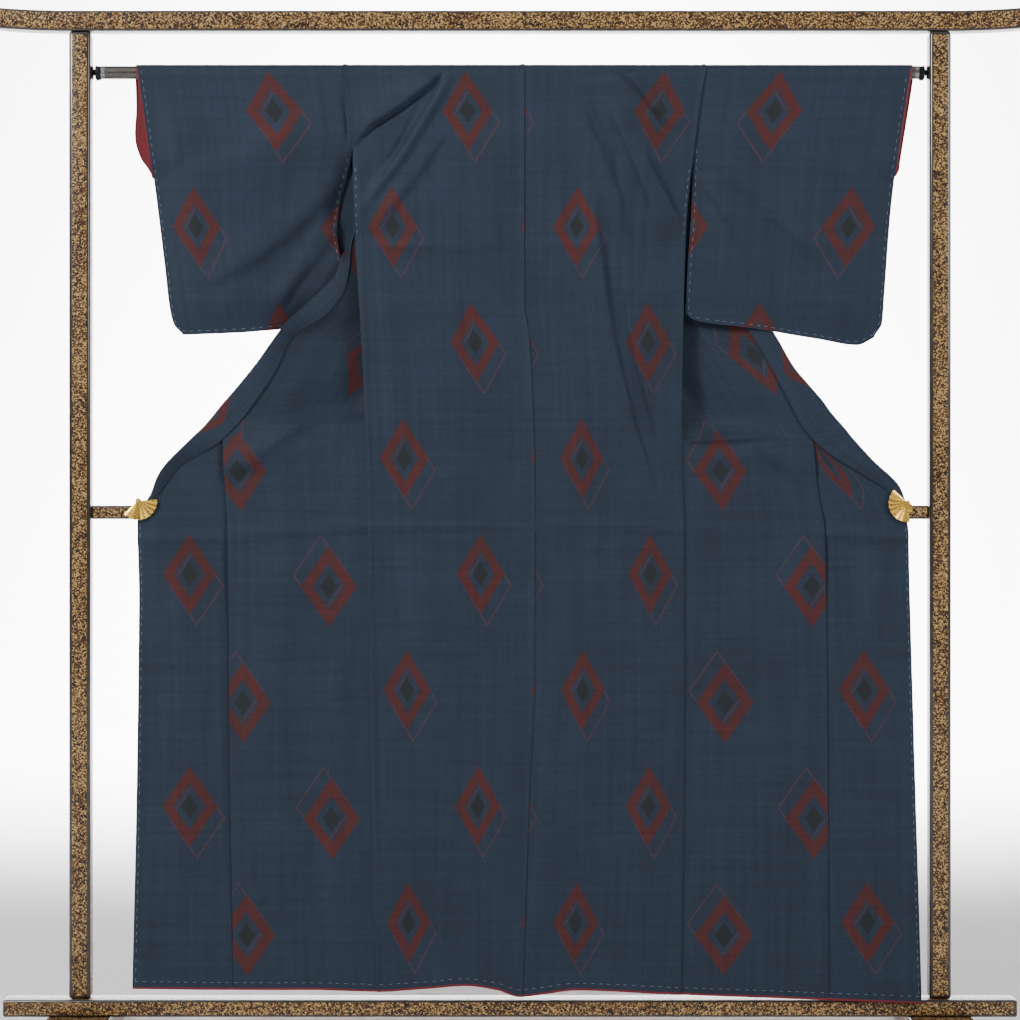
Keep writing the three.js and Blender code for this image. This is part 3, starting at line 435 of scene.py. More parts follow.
# height: x, y, direction of the band (x, y, z), its width, and how far it lies before or behind the panel
collarSeam = {
    "left": curveThrough([
        (1690, -65, 13.1, 0.5, 0.35, -0.8, 54, 3.1), (1632, -126, 31, 0.62, 0.62, -0.48, 55, 3.1),
        (1562, -186, 32, 0.35, 0.9, -0.2, 56, 3.1), (1492, -240, 25, 0.45, 0.8, -0.3, 55, 3.1),
        (1433, -266, 16, 0.4, 0.85, -0.3, 50, 1.6), (1384, -279, 7, 0.3, 0.9, -0.1, 28, 0.8),
        (1350, -285, 3, -0.6, 0.15, 0.75, 20, -1.6), (1316, -292, 0, -0.6, 0, 0.8, 24, -3.1),
        (1269, -326, -4, -0.7, 0, 0.7, 31, -3.1), (1228, -385, -7, -0.6, -0.5, 0.6, 22, -3.1),
        (1168, -415, -10, -0.78, -0.1, 0.62, 30, -3.1), (1123, -444, -12, -0.76, 0, 0.65, 35, -3.1),
        (1081, -476, -13, -0.75, 0, 0.66, 38, -3.1), (1045, -511, -14, -0.75, 0, 0.66, 34, -3.1),
        (1001, -579, -14.5, -0.6, -0.5, 0.6, 20, -3.1), (952, -616, -14.5, -0.85, -0.1, -0.5, 20, -3.1),
        (926, -634, -14.5, -0.95, -0.1, -0.3, 12, -3.1)]),
    "right": curveThrough([
        (1690, 114, 13.1, -0.5, 0.35, -0.8, 54, 3.1), (1632, 175, 31, -0.62, 0.62, -0.48, 55, 3.1),
        (1562, 234, 32, -0.35, 0.9, -0.2, 56, 3.1), (1492, 288, 28, 0, 0.99, 0.1, 56, 1.2),
        (1433, 312, 23, 0.35, 0.9, 0.2, 52, 0.8), (1384, 332, 17, 0.6, 0.4, 0.6, 32, 0),
        (1316, 352, 12, 0.6, 0.1, 0.78, 27, -3.1), (1269, 387, 9.5, 0.75, 0, 0.65, 28, -3.1),
        (1237, 424, 6, 0.78, 0, 0.62, 30, -3.1), (1162, 468, -3, 0.8, 0, 0.6, 31, -3.1),
        (1110, 495, -9, 0.77, 0, 0.63, 42, -3.1), (1074, 514, -12, 0.77, 0, 0.63, 50, -3.1),
        (1045, 537, -14, 0.77, 0, 0.63, 50, -3.1), (1017, 572, -14.5, 0.77, 0, 0.63, 41, -3.1),
        (990, 616, -14.5, 0.7, -0.2, 0.65, 27, -3.1), (956, 667, -14.5, 0.85, -0.1, 0.45, 16, -3.1),
        (930, 683, -14.5, 0.95, -0.1, -0.2, 11, -3.1)]),
}
# height at the side seam, height on the inner edge, and the directions in which a section of the front
# leaves the side seam and reaches the inner edge, in degrees
overShoulder = [(1689.7, 1689.7, 0, 0), (1664, 1664, 0, 0), (1632, 1632, 0, 45), (1596, 1597, 0, 90),
                (1561, 1562, 0, 135), (1526, 1527, 2, 180), (1491, 1492, 3, 184)]
belowShoulder = {
    "left": [(1444, 1433, 3, 188), (1409, 1384, 3, 192), (1356, 1316, 4, 194), (1300, 1269, 8, 196),
             (1240, 1228, 16, 198), (1176, 1168, 35, 192), (1130, 1123, 60, 185), (1085, 1081, 100, 180),
             (1036, 1046, 150, 180), (980, 980, 180, 180)],
    "right": [(1444, 1433, 3, 184), (1409, 1384, 3, 186), (1356, 1316, 4, 188), (1300, 1269, 8, 188),
              (1250, 1237, 16, 186), (1176, 1162, 40, 182), (1130, 1110, 75, 180), (1085, 1074, 120, 180),
              (1036, 1046, 160, 180), (980, 980, 180, 180)],
}
frontSections = {side: curveThrough([(k, *row) for k, row in enumerate(overShoulder + rows)])
                 for side, rows in belowShoulder.items()}
sectionCount = len(overShoulder + belowShoulder["left"]) - 1
# how wide the front lies below the shoulder, where it is eased along its collar seam
frontWidth = curveThrough([(1689.7, 229), (1664, 200), (1632, 164), (1596, 133), (1561, 105), (1526, 120),
                           (1491, 165), (1444, 236), (980, 236)])

sleeveLines = {
    "left": {
        "swing": 22, "curl": 9, "hollow": 34, "open": 15,
        "cuff": curveThrough([(1703, -653), (1503, -625), (1351, -606), (1275, -597), (1248, -590),
                              (1230, -574)]),
        "farReach": curveThrough([(1703, 4), (1631, 12), (1570, 22), (1545, 18), (1505, 0), (1230, 0)]),
        "inner": curveThrough([(1703, -294), (1568, -276), (1465, -284), (1385, -295), (1250, -290)]),
        "bottom": curveThrough([(-574, 1230), (-472, 1234), (-392, 1241), (-290, 1250)]),
        "lowCuff": -574, "lowInner": -290,
    },
    "right": {
        "swing": -6, "curl": 2, "hollow": 18, "open": 2,
        "cuff": curveThrough([(1703, 703), (1517, 676), (1424, 666), (1286, 656), (1250, 653), (1228, 640)]),
        "farReach": curveThrough([(1703, 3), (1677, 7), (1522, 5), (1505, 0), (1228, 0)]),
        "inner": curveThrough([(1703, 345), (1632, 332), (1542, 321), (1400, 313), (1270, 307)]),
        "bottom": curveThrough([(307, 1268), (324, 1255), (425, 1241), (539, 1223), (609, 1212),
                                (640, 1226)]),
        "lowCuff": 640, "lowInner": 307,
    },
}
cuffOpening = 203
openingZ = rodZ + drapeRadius - cuffOpening

# Creases: points (x, z), width on the line's left and right as one goes along it, and height, which is
# below 0 where the crease stands towards the viewer
creases = {
    "body_left": [
        ([(-96, 1704), (-128, 1641), (-182, 1550), (-231, 1487), (-268, 1430)], 13, 8, -5.5),
        ([(-110, 1700), (-142, 1641), (-196, 1556), (-246, 1490)], 5, 5, 2.0),
        ([(-104, 1716), (-138, 1672), (-196, 1628), (-246, 1597), (-284, 1552)], 34, 4, -5.5),
        ([(-100, 1712), (-132, 1665), (-191, 1621), (-241, 1589), (-279, 1546)], 3.2, 3.2, 2.6),
        ([(-272, 1700), (-257, 1300), (-250, 1097), (-244, 887), (-239, 511), (-222, -250)], 3.5, 6, -1.6),
        ([(-140, 1664), (-161, 1628), (-215, 1521), (-250, 1463)], 5, 5, 1.2),
        ([(-108, 1600), (-163, 1512), (-208, 1455), (-250, 1395)], 38, 9, -4.5),
        ([(-262, 1560), (-265, 1480), (-262, 1400)], 20, 20, -3.0),
        ([(-200, 1500), (-120, 1370), (-60, 1230)], 48, 66, -3.5),
        ([(-20, 1640), (-36, 1500), (-30, 1320)], 22, 40, -2.2),
        ([(-230, 1330), (-205, 1150), (-190, 1010)], 16, 36, -2.5),
        ([(-120, 1180), (-100, 1050), (-104, 905)], 30, 44, -2.4),
        ([(-130, 950), (-142, 560), (-150, 180)], 50, 72, -4.5),
        ([(-30, 700), (-20, 400), (-34, 120)], 20, 34, -2.2),
        ([(-206, 620), (-212, 380), (-204, 110)], 14, 26, -2.0),
        ([(-400, 960), (-408, 560), (-396, 150)], 60, 40, -4.5),
        ([(-300, 700), (-312, 420), (-300, 110)], 22, 34, -2.4),
        ([(-606, 962), (-480, 1000), (-320, 1030)], 14, 40, -3.0),
        ([(-610, 930), (-500, 850), (-440, 690)], 30, 52, -2.5),
        ([(-262, 1290), (-330, 1170), (-420, 1060)], 34, 22, -3.5),
        ([(-290, 1150), (-360, 1078), (-430, 1028), (-520, 962)], 36, 13, -5.0),
        ([(-560, 872), (-372, 884), (-248, 891), (80, 893)], 5.5, 9, -2.4),
        ([(-260, 1383), (-90, 1381), (80, 1381)], 4, 8, -1.3),
    ],
    "body_right": [
        ([(168, 1712), (216, 1652), (246, 1616), (290, 1566)], 26, 5, -5.0),
        ([(196, 1706), (238, 1650), (268, 1612), (306, 1576)], 6, 20, -2.6),
        ([(226, 1560), (262, 1488), (312, 1400)], 34, 6, -5.0),
        ([(236, 1556), (266, 1504), (318, 1402)], 5, 5, 2.4),
        ([(170, 1716), (232, 1640), (300, 1556)], 3.6, 4, 1.7),
        ([(134, 1668), (160, 1600), (184, 1535), (200, 1460)], 5, 6, 2.2),
        ([(146, 1560), (184, 1300), (222, 1150), (262, 1010), (306, 860)], 6, 7, 1.8),
        ([(340, 1640), (309, 1237), (306, 1045), (310, 887), (309, 511), (302, -250)], 4, 5.5, 2.2),
        ([(116, 1640), (156, 1550), (188, 1468), (200, 1380)], 36, 8, -4.5),
        ([(166, 1650), (208, 1560), (244, 1470), (266, 1380)], 8, 28, -4.5),
        ([(136, 1520), (176, 1230), (214, 1070), (250, 962), (280, 885)], 42, 7, -6.0),
        ([(182, 1490), (214, 1225), (252, 1082), (288, 985)], 8, 30, -3.5),
        ([(70, 1660), (88, 1500), (84, 1330)], 30, 22, -2.4),
        ([(90, 1250), (112, 1080), (120, 930)], 26, 40, -2.5),
        ([(287, 1524), (292, 1438), (300, 1400)], 7, 7, 1.0),
        ([(120, 900), (108, 560), (100, 180)], 44, 66, -4.5),
        ([(64, 640), (60, 380), (52, 110)], 12, 24, -2.4),
        ([(232, 720), (240, 440), (232, 110)], 26, 38, -3.0),
        ([(430, 940), (446, 560), (440, 150)], 44, 60, -4.5),
        ([(352, 640), (362, 400), (352, 110)], 20, 30, -2.2),
        ([(640, 962), (520, 1000), (370, 1035)], 40, 14, -3.0),
        ([(399, 1115), (480, 1040), (560, 957)], 26, 26, 1.2),
        ([(650, 935), (545, 850), (500, 700)], 50, 26, -2.5),
        ([(306, 1290), (360, 1190), (430, 1090)], 18, 32, -3.5),
        ([(330, 1140), (392, 1072), (470, 1010), (552, 950)], 12, 30, -3.5),
        ([(-30, 893), (160, 894), (300, 887), (620, 879)], 5.5, 9, -2.2),
        ([(-30, 1381), (90, 1383), (190, 1382)], 4, 8, -1.0),
    ],
    "okumi_left": [
        ([(-570, 880), (-574, 520), (-560, 150)], 30, 44, -3.2),
        ([(-512, 1010), (-509, 887), (-505, 511), (-497, 92)], 3.5, 4.5, -1.1),
        ([(-634, 930), (-600, 820), (-592, 690)], 12, 26, -2.8),
        ([(-720, 868), (-580, 870), (-440, 875)], 5.5, 9, -2.2),
    ],
    "okumi_right": [
        ([(630, 860), (642, 520), (640, 150)], 44, 30, -3.8),
        ([(552, 1010), (566, 887), (571, 511), (572, 80)], 3.5, 4.5, -1.1),
        ([(672, 930), (646, 810), (636, 680)], 26, 12, -2.8),
        ([(490, 882), (630, 877), (770, 872)], 5.5, 9, -2.2),
    ],
    "sleeve_left": [
        ([(-284, 1520), (-372, 1428), (-440, 1372), (-545, 1308)], 34, 14, -6.0),
        ([(-290, 1450), (-350, 1362), (-410, 1290), (-440, 1262)], 22, 14, -5.0),
        ([(-306, 1420), (-352, 1330), (-404, 1250)], 14, 16, 2.6),
        ([(-296, 1470), (-346, 1372), (-392, 1275)], 9, 13, 1.2),
        ([(-300, 1640), (-420, 1560), (-570, 1490)], 30, 44, -2.5),
        ([(-302, 1724), (-290, 1640), (-284, 1540)], 4, 4, 2.2),
        ([(-590, 1660), (-575, 1480), (-560, 1300)], 26, 40, -2.6),
        ([(-480, 1330), (-500, 1280), (-505, 1240)], 16, 24, -2.0),
    ],
    "sleeve_right": [
        ([(330, 1560), (430, 1470), (560, 1350)], 14, 36, -4.5),
        ([(330, 1520), (404, 1400), (468, 1280)], 11, 24, -4.5),
        ([(345, 1640), (470, 1570), (620, 1500)], 40, 30, -2.4),
        ([(352, 1712), (338, 1632), (326, 1540)], 3.5, 4, 1.2),
        ([(640, 1660), (632, 1480), (620, 1290)], 40, 24, -2.6),
        ([(530, 1340), (550, 1285), (556, 1225)], 24, 16, -2.0),
    ],
}
# a crease is felt "reach" widths from its line, rises over the first share of its length and falls from the
# other share on; the rooms say how far a trough may go in, low down, higher up and at the shoulder
creaseLook = {"reach": 2.4, "strength": 1.8, "risesOver": 0.22, "fallsFrom": 0.72,
              "lowRoom": 2.0, "highRoom": 5.0, "shoulderRoom": 0.3}


def preparedCreases(rows):
    # each crease with its box and the length of the line up to each of its points
    found = []
    for points, left, right, height in rows:
        margin = creaseLook["reach"] * max(left, right)
        xs, zs = [p[0] for p in points], [p[1] for p in points]
        lengths = [0.0]
        for a, b in zip(points, points[1:]):
            lengths.append(lengths[-1] + math.dist(a, b))
        box = (min(xs) - margin, max(xs) + margin, min(zs) - margin, max(zs) + margin)
        found.append((box, points, lengths, left, right, height))
    return found


creaseRows = {name: preparedCreases(rows) for name, rows in creases.items()}


def creaseAt(name, x, z):
    look = creaseLook
    depth = 0.0
    for box, points, lengths, left, right, height in creaseRows[name]:
        if not (box[0] < x < box[1] and box[2] < z < box[3]):
            continue
        nearest = None
        for k, ((x1, z1), (x2, z2)) in enumerate(zip(points, points[1:])):
            alongX, alongZ = x2 - x1, z2 - z1
            length = lengths[k + 1] - lengths[k]
            share = ((x - x1) * alongX + (z - z1) * alongZ) / length ** 2
            share = min(1.0, max(0.0, share))
            offX, offZ = x - x1 - alongX * share, z - z1 - alongZ * share
            off = math.hypot(offX, offZ)
            if nearest is None or off < nearest[0]:
                side = offX * alongZ - offZ * alongX
                nearest = (off, side, (lengths[k] + length * share) / lengths[-1])
        off, side, share = nearest
        ends = ease(share, 0.0, look["risesOver"]) * (1 - ease(share, look["fallsFrom"], 1.0))
        depth += height * ends * math.exp(-(off / (left if side > 0 else right)) ** 2)
    depth *= look["strength"] * (1 - ease(z, 1680, 1690))
    room = mix(look["lowRoom"], look["highRoom"], ease(z, 1440, 1500))
    return min(depth, mix(room, look["shoulderRoom"], ease(z, 1630, 1675)))


def hangY(z):
    ends = ("middle", "rod") if z > hang["middle"][0] else ("hem", "middle")
    (lowZ, lowY), (highZ, highY) = (hang[end] for end in ends)
    return mix(lowY, highY, (z - lowZ) / (highZ - lowZ))


# slight unevenness of hanging silk: width and height of its waves, how far they swing, seed
waves = [(130, 260, 1.6, 0), (38, 95, 0.55, 7), (15, 22, 0.12, 13)]
hemWave, hemSwing = (85, 600, 1, 21), 2.2
bodySeed, sleeveSeed = 1.5, 4.5


def ripple(x, z, seed):
    def wave(wide, tall, swing, number):
        return swing * noise.noise(Vector((x / wide, z / tall, seed + number)))
    calm = 1 - ease(z, 1600, 1670)
    low = 1 - ease(z, 90, 560)
    return sum(wave(*row) for row in waves) * calm - hemSwing * low * (1 + wave(*hemWave))


# Cloth sheets: a grid whose points are placed by a function, then given its thickness

clothThickness = 1.7


def placedGrid(name, rows, columns, pointAt):
    # pointAt(row, column) gives a point in millimetres and its place in the cloth (u, v)
    clearSelection()
    bpy.ops.mesh.primitive_grid_add(x_subdivisions=columns, y_subdivisions=rows, size=1)
    piece = added(name)
    mesh = piece.data
    while mesh.uv_layers:
        mesh.uv_layers.remove(mesh.uv_layers[0])
    clothUv = mesh.uv_layers.new(name="cloth")
    spots = [(round((v.co.y + 0.5) * rows), round((v.co.x + 0.5) * columns)) for v in mesh.vertices]
    placed = {spot: pointAt(*spot) for spot in spots}
    for vertex, spot in zip(mesh.vertices, spots):
        vertex.co = placed[spot][0] * mm
    for loop in mesh.loops:
        u, v = placed[spots[loop.vertex_index]][1]
        clothUv.data[loop.index].uv = (u * mm, v * mm)
    return piece, spots


def clothGrid(name, rows, columns, pointAt, keep=None, wraps=False):
    piece, spots = placedGrid(name, rows, columns, pointAt)
    mesh = piece.data
    if keep:
        selectFaces(piece, lambda polygon: not keep(*min(spots[i] for i in polygon.vertices)))
        bpy.ops.mesh.delete(type="FACE")
        objectMode()
    if wraps:
        editMode(piece, action="SELECT")
        bpy.ops.mesh.remove_doubles(threshold=0.00001)
        objectMode()
    # a face of the first row shows which way the sheet faces: it should be towards the viewer
    mesh.update()
    if mesh.polygons[columns // 3].normal.y > 0:
        editMode(piece, action="SELECT")
        bpy.ops.mesh.flip_normals()
        objectMode()
    paint(piece, silk, lining)
    return piece


def thicken(piece, thickness=clothThickness, lined=True):
    addModifier(piece, "SOLIDIFY", thickness=thickness * mm, offset=0.0, use_even_offset=False,
                material_offset=1 if lined else 0, material_offset_rim=0)
    smooth(piece, 50)


body = {"crowding": 0.6, "backRows": 270, "arcRows": 14, "frontRows": 130, "spreadRows": 120,
        "shoulderColumns": 66, "neckColumns": 18, "seamRise": 2.1, "seamEase": 8, "tuck": 5}
sewnAbove = (1548, 1576)  # the sleeve is sewn to the body above these heights
centreLap = {"left": 1.2, "right": 0.0}


def bodyCrease(side, x, z):
    return creaseAt(f"body_{side}", x, z) + ripple(x, z, bodySeed)


def seamLift(side, x, z):
    # the cloth stands a little higher where it laps over the sleeve, and over the other back panel
    fromSide = abs(x - sideSeam[side](z))
    lift = (1 - ease(fromSide, 0, body["seamEase"])) * ease(z, *sewnAbove)
    if side == "left":
        lift = max(lift, 1 - ease(abs(x - centreSeam(z)), 0, body["seamEase"]))
    return lift * body["seamRise"]


def backPoint(side, level, share):
    # level runs from 0 at the hem to 1 at the rod
    def xAt(z):
        return mix(sideSeam[side](z), centreSeam(z) + centreLap[side], share)
    hem = hemLine(xAt(hemLevel))
    z = mix(hem, rodZ, level)
    x = xAt(z)
    y = hangY(z) + bodyCrease(side, x, z) - seamLift(side, x, z)
    return Vector((x, y, z))


def frontEdge(side, z):
    if z >= seamTop:
        x, y = collarSeam[side](z)[:2]
        return Vector((x, y, z))
    return Vector((overlapSeam[side](z), hangY(z), z))


def frontSide(side, z):
    # the side edge is tucked a little way behind the back panel
    outward = outwardOf[side]
    sewn = ease(z, *sewnAbove)
    x = sideSeam[side](z) - outward * body["tuck"] * (1 - sewn)
    y = mix(hangY(z) + lap, drapeRadius, ease(z, 1409, rodZ))
    return Vector((x, y, z))


def followBack(side, point):
    # a front that lies close behind the back panel takes its creases
    near = 1 - ease(point.y - hangY(point.z), 5, 22)
    if near > 0:
        point.y += near * bodyCrease(side, point.x, point.z)
    return point


def bezier(points, t):
    a, b, c, d = points
    s = 1 - t
    return a * s ** 3 + b * 3 * s * s * t + c * 3 * s * t * t + d * t ** 3


def frontSection(side, row, columns):
    # a curve from the side seam to the inner edge, as long as the panel is wide
    outward = outwardOf[side]
    sideZ, edgeZ, leave, arrive = frontSections[side](row)
    start, end = frontSide(side, sideZ), frontEdge(side, edgeZ)
    wide = frontWidth(sideZ)

    def heading(degrees):
        angle = math.radians(degrees)
        return Vector((-outward * math.cos(angle), math.sin(angle), 0))

    def handles(length):
        first = start + heading(leave) * length
        second = end - heading(arrive) * length
        first.z, second.z = mix(start.z, end.z, 1 / 3), mix(start.z, end.z, 2 / 3)
        return start, first, second, end

    def trace(length, count=40):
        path = [bezier(handles(length), k / count) for k in range(count + 1)]
        steps = [0.0]
        for a, b in zip(path, path[1:]):
            steps.append(steps[-1] + (b - a).length)
        return path, steps
    low, high = 4.0, 260.0  # the handles are halved towards the length that makes the curve wide enough
    for _ in range(16):
        middle = (low + high) / 2
        if trace(middle)[1][-1] < wide:
            low = middle
        else:
            high = middle
    path, steps = trace(low)
    points, k = [], 0
    for column in range(columns + 1):
        wanted = steps[-1] * column / columns
        while k < len(steps) - 2 and steps[k + 1] < wanted:
            k += 1
        t = (wanted - steps[k]) / max(1e-6, steps[k + 1] - steps[k])
        points.append(followBack(side, path[k].lerp(path[k + 1], t)))
    return points


hemPoints = {"left": [], "right": []}  # the hem's points, from the overlap's edge to the centre seam


def makeBody(side):
    outward = outwardOf[side]
    back, arc, front, spread = (body[k] for k in ("backRows", "arcRows", "frontRows", "spreadRows"))
    shoulder, neck = body["shoulderColumns"], body["neckColumns"]
    neckX, armX = collarSeam[side](neckZ)[0], sideSeam[side](rodZ)
    neckShare = (neckX - armX) / (centreSeam(rodZ) - armX)
    shares = [neckShare * k / shoulder for k in range(shoulder + 1)]
    shares += [mix(neckShare, 1, (k + 1) / neck) for k in range(neck)]
    sections = [frontSection(side, sectionCount * (k + 1) / front, shoulder) for k in range(front)]

    def pointAt(row, column):
        share = shares[column]
        x0 = share * panelWidth
        if row <= back:
            level = row / back
            point = backPoint(side, level * (1 + body["crowding"] * (1 - level)), share)
            return point, (-outward * x0, point.z)
        if row <= back + arc:
            angle = math.pi * (1 - (row - back) / arc)
            x = mix(sideSeam[side](rodZ), centreSeam(rodZ) + centreLap[side], share)
            radius = drapeRadius + seamLift(side, x, rodZ)
            y, z = radius * math.cos(angle), rodZ + radius * math.sin(angle)
            return Vector((x, y, z)), (-outward * x0, rodZ + arcLength * (row - back) / arc)
        inner = min(column, shoulder)
        if row <= back + arc + front:
            point = sections[row - back - arc - 1][inner].copy()
            point.y += seamLift(side, point.x, point.z) * ease(point.z, *sewnAbove)
            down = rodZ - point.z
        else:
            level = (row - back - arc - front) / spread
            t = inner / shoulder
            z0 = mix(sectionsEnd, hemLevel, level)
            x = mix(sideSeam[side](z0) - outward * body["tuck"], overlapSeam[side](z0), t)
            z = mix(sectionsEnd, hemLine(x), level)
            behind = lap * (1 - ease(t, 0, 0.35))
            y = hangY(z) + behind + bodyCrease(side, x, z)
            point = Vector((x, y, z))
            down = rodZ - z
        return point, (-outward * inner / shoulder * frontPanelWidth, rodZ + arcLength + down)

    last = back + arc
    rows = back + arc + front + spread
    piece = clothGrid(f"kimono_body_{side}", rows, shoulder + neck, pointAt,
                      keep=lambda row, column: row < last or column < shoulder)
    hemPoints[side] += [pointAt(rows, k)[0] for k in range(shoulder, -1, -1)]
    hemPoints[side] += [pointAt(0, k)[0] for k in range(shoulder + neck + 1)]
    thicken(piece)
    return piece


okumi = {"rows": 170, "columns": 34, "top": 1052, "under": 4, "tuck": 2.2}


def overlapPoint(side, level, share):
    outward = outwardOf[side]
    z0 = mix(okumi["top"], hemLevel, level ** 1.15)
    inner = overlapSeam[side](z0) - outward * okumi["under"]
    x = mix(inner, overlapEdge[side](z0), share)
    z = z0 + (hemLine(x) - hemLevel) * level
    behind = okumi["tuck"] * (1 - ease(abs(x - inner), okumi["under"], 4 * okumi["under"]))
    y = hangY(z) + behind + creaseAt(f"okumi_{side}", x, z) + ripple(x, z, bodySeed)
    return Vector((x, y, z))


def makeOverlap(side):
    outward = outwardOf[side]
    rows, columns = okumi["rows"], okumi["columns"]

    def pointAt(row, column):
        point = overlapPoint(side, row / rows, column / columns)
        return point, (outward * okumiWidth * column / columns, point.z)
    piece = clothGrid(f"kimono_okumi_{side}", rows, columns, pointAt)
    hemPoints[side][:0] = [pointAt(rows, k)[0] for k in range(columns, 1, -1)]
    thicken(piece)
    return piece


collarCut = {"columns": 12, "rows": 120, "neckRows": 24, "leftEnd": 926, "rightEnd": 930,
             "overlap": -4.5, "width": 57, "crown": 1.2, "thickness": 2.0}


def collarStops():
    # seam values from the left clip round the neck to the right clip
    cut = collarCut
    centre = [24, drapeRadius, 0, 0.12, -1, 56, 3.1]
    stops = []
    for k in range(cut["rows"] + 1):
        z = mix(cut["leftEnd"], neckZ, k / cut["rows"])
        stops.append((z, collarSeam["left"](z)))
    for k in range(1, cut["neckRows"]):
        t = k / cut["neckRows"]
        near = collarSeam["left" if t < 0.5 else "right"](neckZ)
        share = 1 - abs(2 * t - 1)
        stops.append((neckZ, [mix(a, b, share) for a, b in zip(near, centre)]))
    for k in range(cut["rows"] + 1):
        z = mix(neckZ, cut["rightEnd"], k / cut["rows"])
        stops.append((z, collarSeam["right"](z)))
    return stops


def makeCollar():
    stops = collarStops()
    columns = collarCut["columns"]
    lengths = [0.0]
    for (za, a), (zb, b) in zip(stops, stops[1:]):
        lengths.append(lengths[-1] + math.dist((a[0], a[1], za), (b[0], b[1], zb)))

    def pointAt(row, column):
        z, (x, y, outX, outY, outZ, width, rise) = stops[row]
        out = Vector((outX, outY, outZ)).normalized()
        share = column / columns
        reach = mix(collarCut["overlap"], width, share)
        crown = collarCut["crown"] * math.sin(math.pi * share) * ease(-rise, 1, 3)
        place = Vector((x, y + rise - crown, z)) + out * reach
        return place, (collarCut["width"] * share, lengths[row])
    piece = clothGrid("kimono_collar", len(stops) - 1, columns, pointAt)
    thicken(piece, collarCut["thickness"], lined=False)
    return piece


sleeve = {"columns": 84, "wallRows": 104, "arcRows": 14, "under": 4, "free": 0.6, "darkSilkReach": 75,
          "arcStep": 2.9, "overRod": 41, "closed": 1.2, "air": 12, "thickness": 1.5, "rippleShare": 0.7}


def sleeveX(side, share, z, face):
    # the far wall (face 1) reaches past the near one (face -1) at the cuff and behind the armhole's gap
    lines = sleeveLines[side]
    far, near = outwardOf[side] * max(0.0, face), outwardOf[side] * max(0.0, -face)
    edge = lines["inner"](z) + outwardOf[side] * mix(sleeve["free"], -sleeve["under"], ease(z, *sewnAbove))
    edge -= far * lines["hollow"] * ease(z, 1300, 1350) * (1 - ease(z, 1545, 1575))
    edge += near * lines["open"] * ease(z, 1330, 1450) * (1 - ease(z, 1450, 1560))
    return mix(lines["cuff"](z) + far * lines["farReach"](z), edge, share)


def sleevePoint(side, share, level, face):
    lines = sleeveLines[side]
    z = mix(lines["bottom"](mix(lines["lowCuff"], lines["lowInner"], share)), rodZ, level)
    x = sleeveX(side, share, z, face)
    # half the air between the walls: closed along the bottom and the sewn part of the cuff
    closed, full = sleeve["closed"], mix(sleeve["air"], drapeRadius, ease(level, 0.75, 1))
    cuff = max(ease(z, openingZ - 10, openingZ + 45), ease(share, 0, 0.22))
    bodySide = mix(1, mix(0.45, 1, ease(level, 0.5, 0.8)), ease(share, 0.72, 1))
    gap = closed + (full - closed) * ease(level, 0, 0.16) * cuff * bodySide
    swing = lines["swing"] * ease(share, 0.4, 0.8) * (1 - ease(level, 0.3, 0.75))
    if face < 0:
        swing += lines["curl"] * ease(share, 0.9, 1) * ease(z, 1380, 1450) * (1 - ease(z, 1510, 1565))
    uneven = ripple(x, max(z, 600), sleeveSeed) * sleeve["rippleShare"]
    return Vector((x, face * gap + swing + creaseAt(f"sleeve_{side}", x, z) + uneven, z))


cuffPoints = {}


def makeSleeve(side):
    # rows run up the near wall, over the rod, down the far wall and close the bag's bottom
    wall, arc, columns = sleeve["wallRows"], sleeve["arcRows"], sleeve["columns"]
    rows = 2 * wall + arc + 2

    def levelOf(k):
        return (k / wall) ** 1.3

    def pointAt(row, column):
        share = column / columns
        u = share * sleeveWidth
        if row <= wall:
            point = sleevePoint(side, share, levelOf(row), -1)
            return point, (u, point.z)
        if row < wall + arc:
            angle = math.pi * (1 - (row - wall) / arc)
            y, z = drapeRadius * math.cos(angle), rodZ + drapeRadius * math.sin(angle)
            x = sleeveX(side, share, z, math.cos(angle))
            return Vector((x, y, z)), (u, rodZ + (row - wall) * sleeve["arcStep"])
        if row <= 2 * wall + arc:
            point = sleevePoint(side, share, levelOf(2 * wall + arc - row), 1)
            return point, (u, 2 * rodZ - point.z + sleeve["overRod"])
        low = 0 if row == 2 * wall + arc + 1 else -1
        point = sleevePoint(side, share, 0, low)
        return point, (u, 2 * rodZ - point.z + sleeve["overRod"])
    piece = clothGrid(f"kimono_sleeve_{side}", rows, columns, pointAt, wraps=True)
    cuffPoints[side] = [pointAt(row, 0)[0] for row in range(rows) if pointAt(row, 0)[0].z > openingZ + 4]
    thicken(piece, sleeve["thickness"])
    for polygon in piece.data.polygons:  # inside the body-side opening the lining's faces take the navy silk: painted shade for the hollow
        x, _, z = polygon.center / mm
        if abs(x - sleeveLines[side]["inner"](z)) < sleeve["darkSilkReach"]:
            polygon.material_index = 0
    return piece


roll = {"cuff": 2.6, "hem": 3.4, "columns": 6, "crown": 0.5, "thickness": 1.5}


def rolledEdge(name, edge, direction, width):
    # lining that rolls out past an edge: a narrow strip with a soft crown
    columns = roll["columns"]

    def pointAt(row, column):
        share = column / columns
        crown = Vector((0, -roll["crown"] * math.sin(math.pi * share), 0))
        along = sum((b - a).length for a, b in zip(edge[:row], edge[1:row + 1]))
        return edge[row] + direction * mix(0.2, width, share) + crown, (width * share, along)
    piece = clothGrid(name, len(edge) - 1, columns, pointAt)
    paint(piece, lining)
    thicken(piece, roll["thickness"], lined=False)
    return piece


def replace(node, piece):
    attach(piece, "root")
    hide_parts(node)


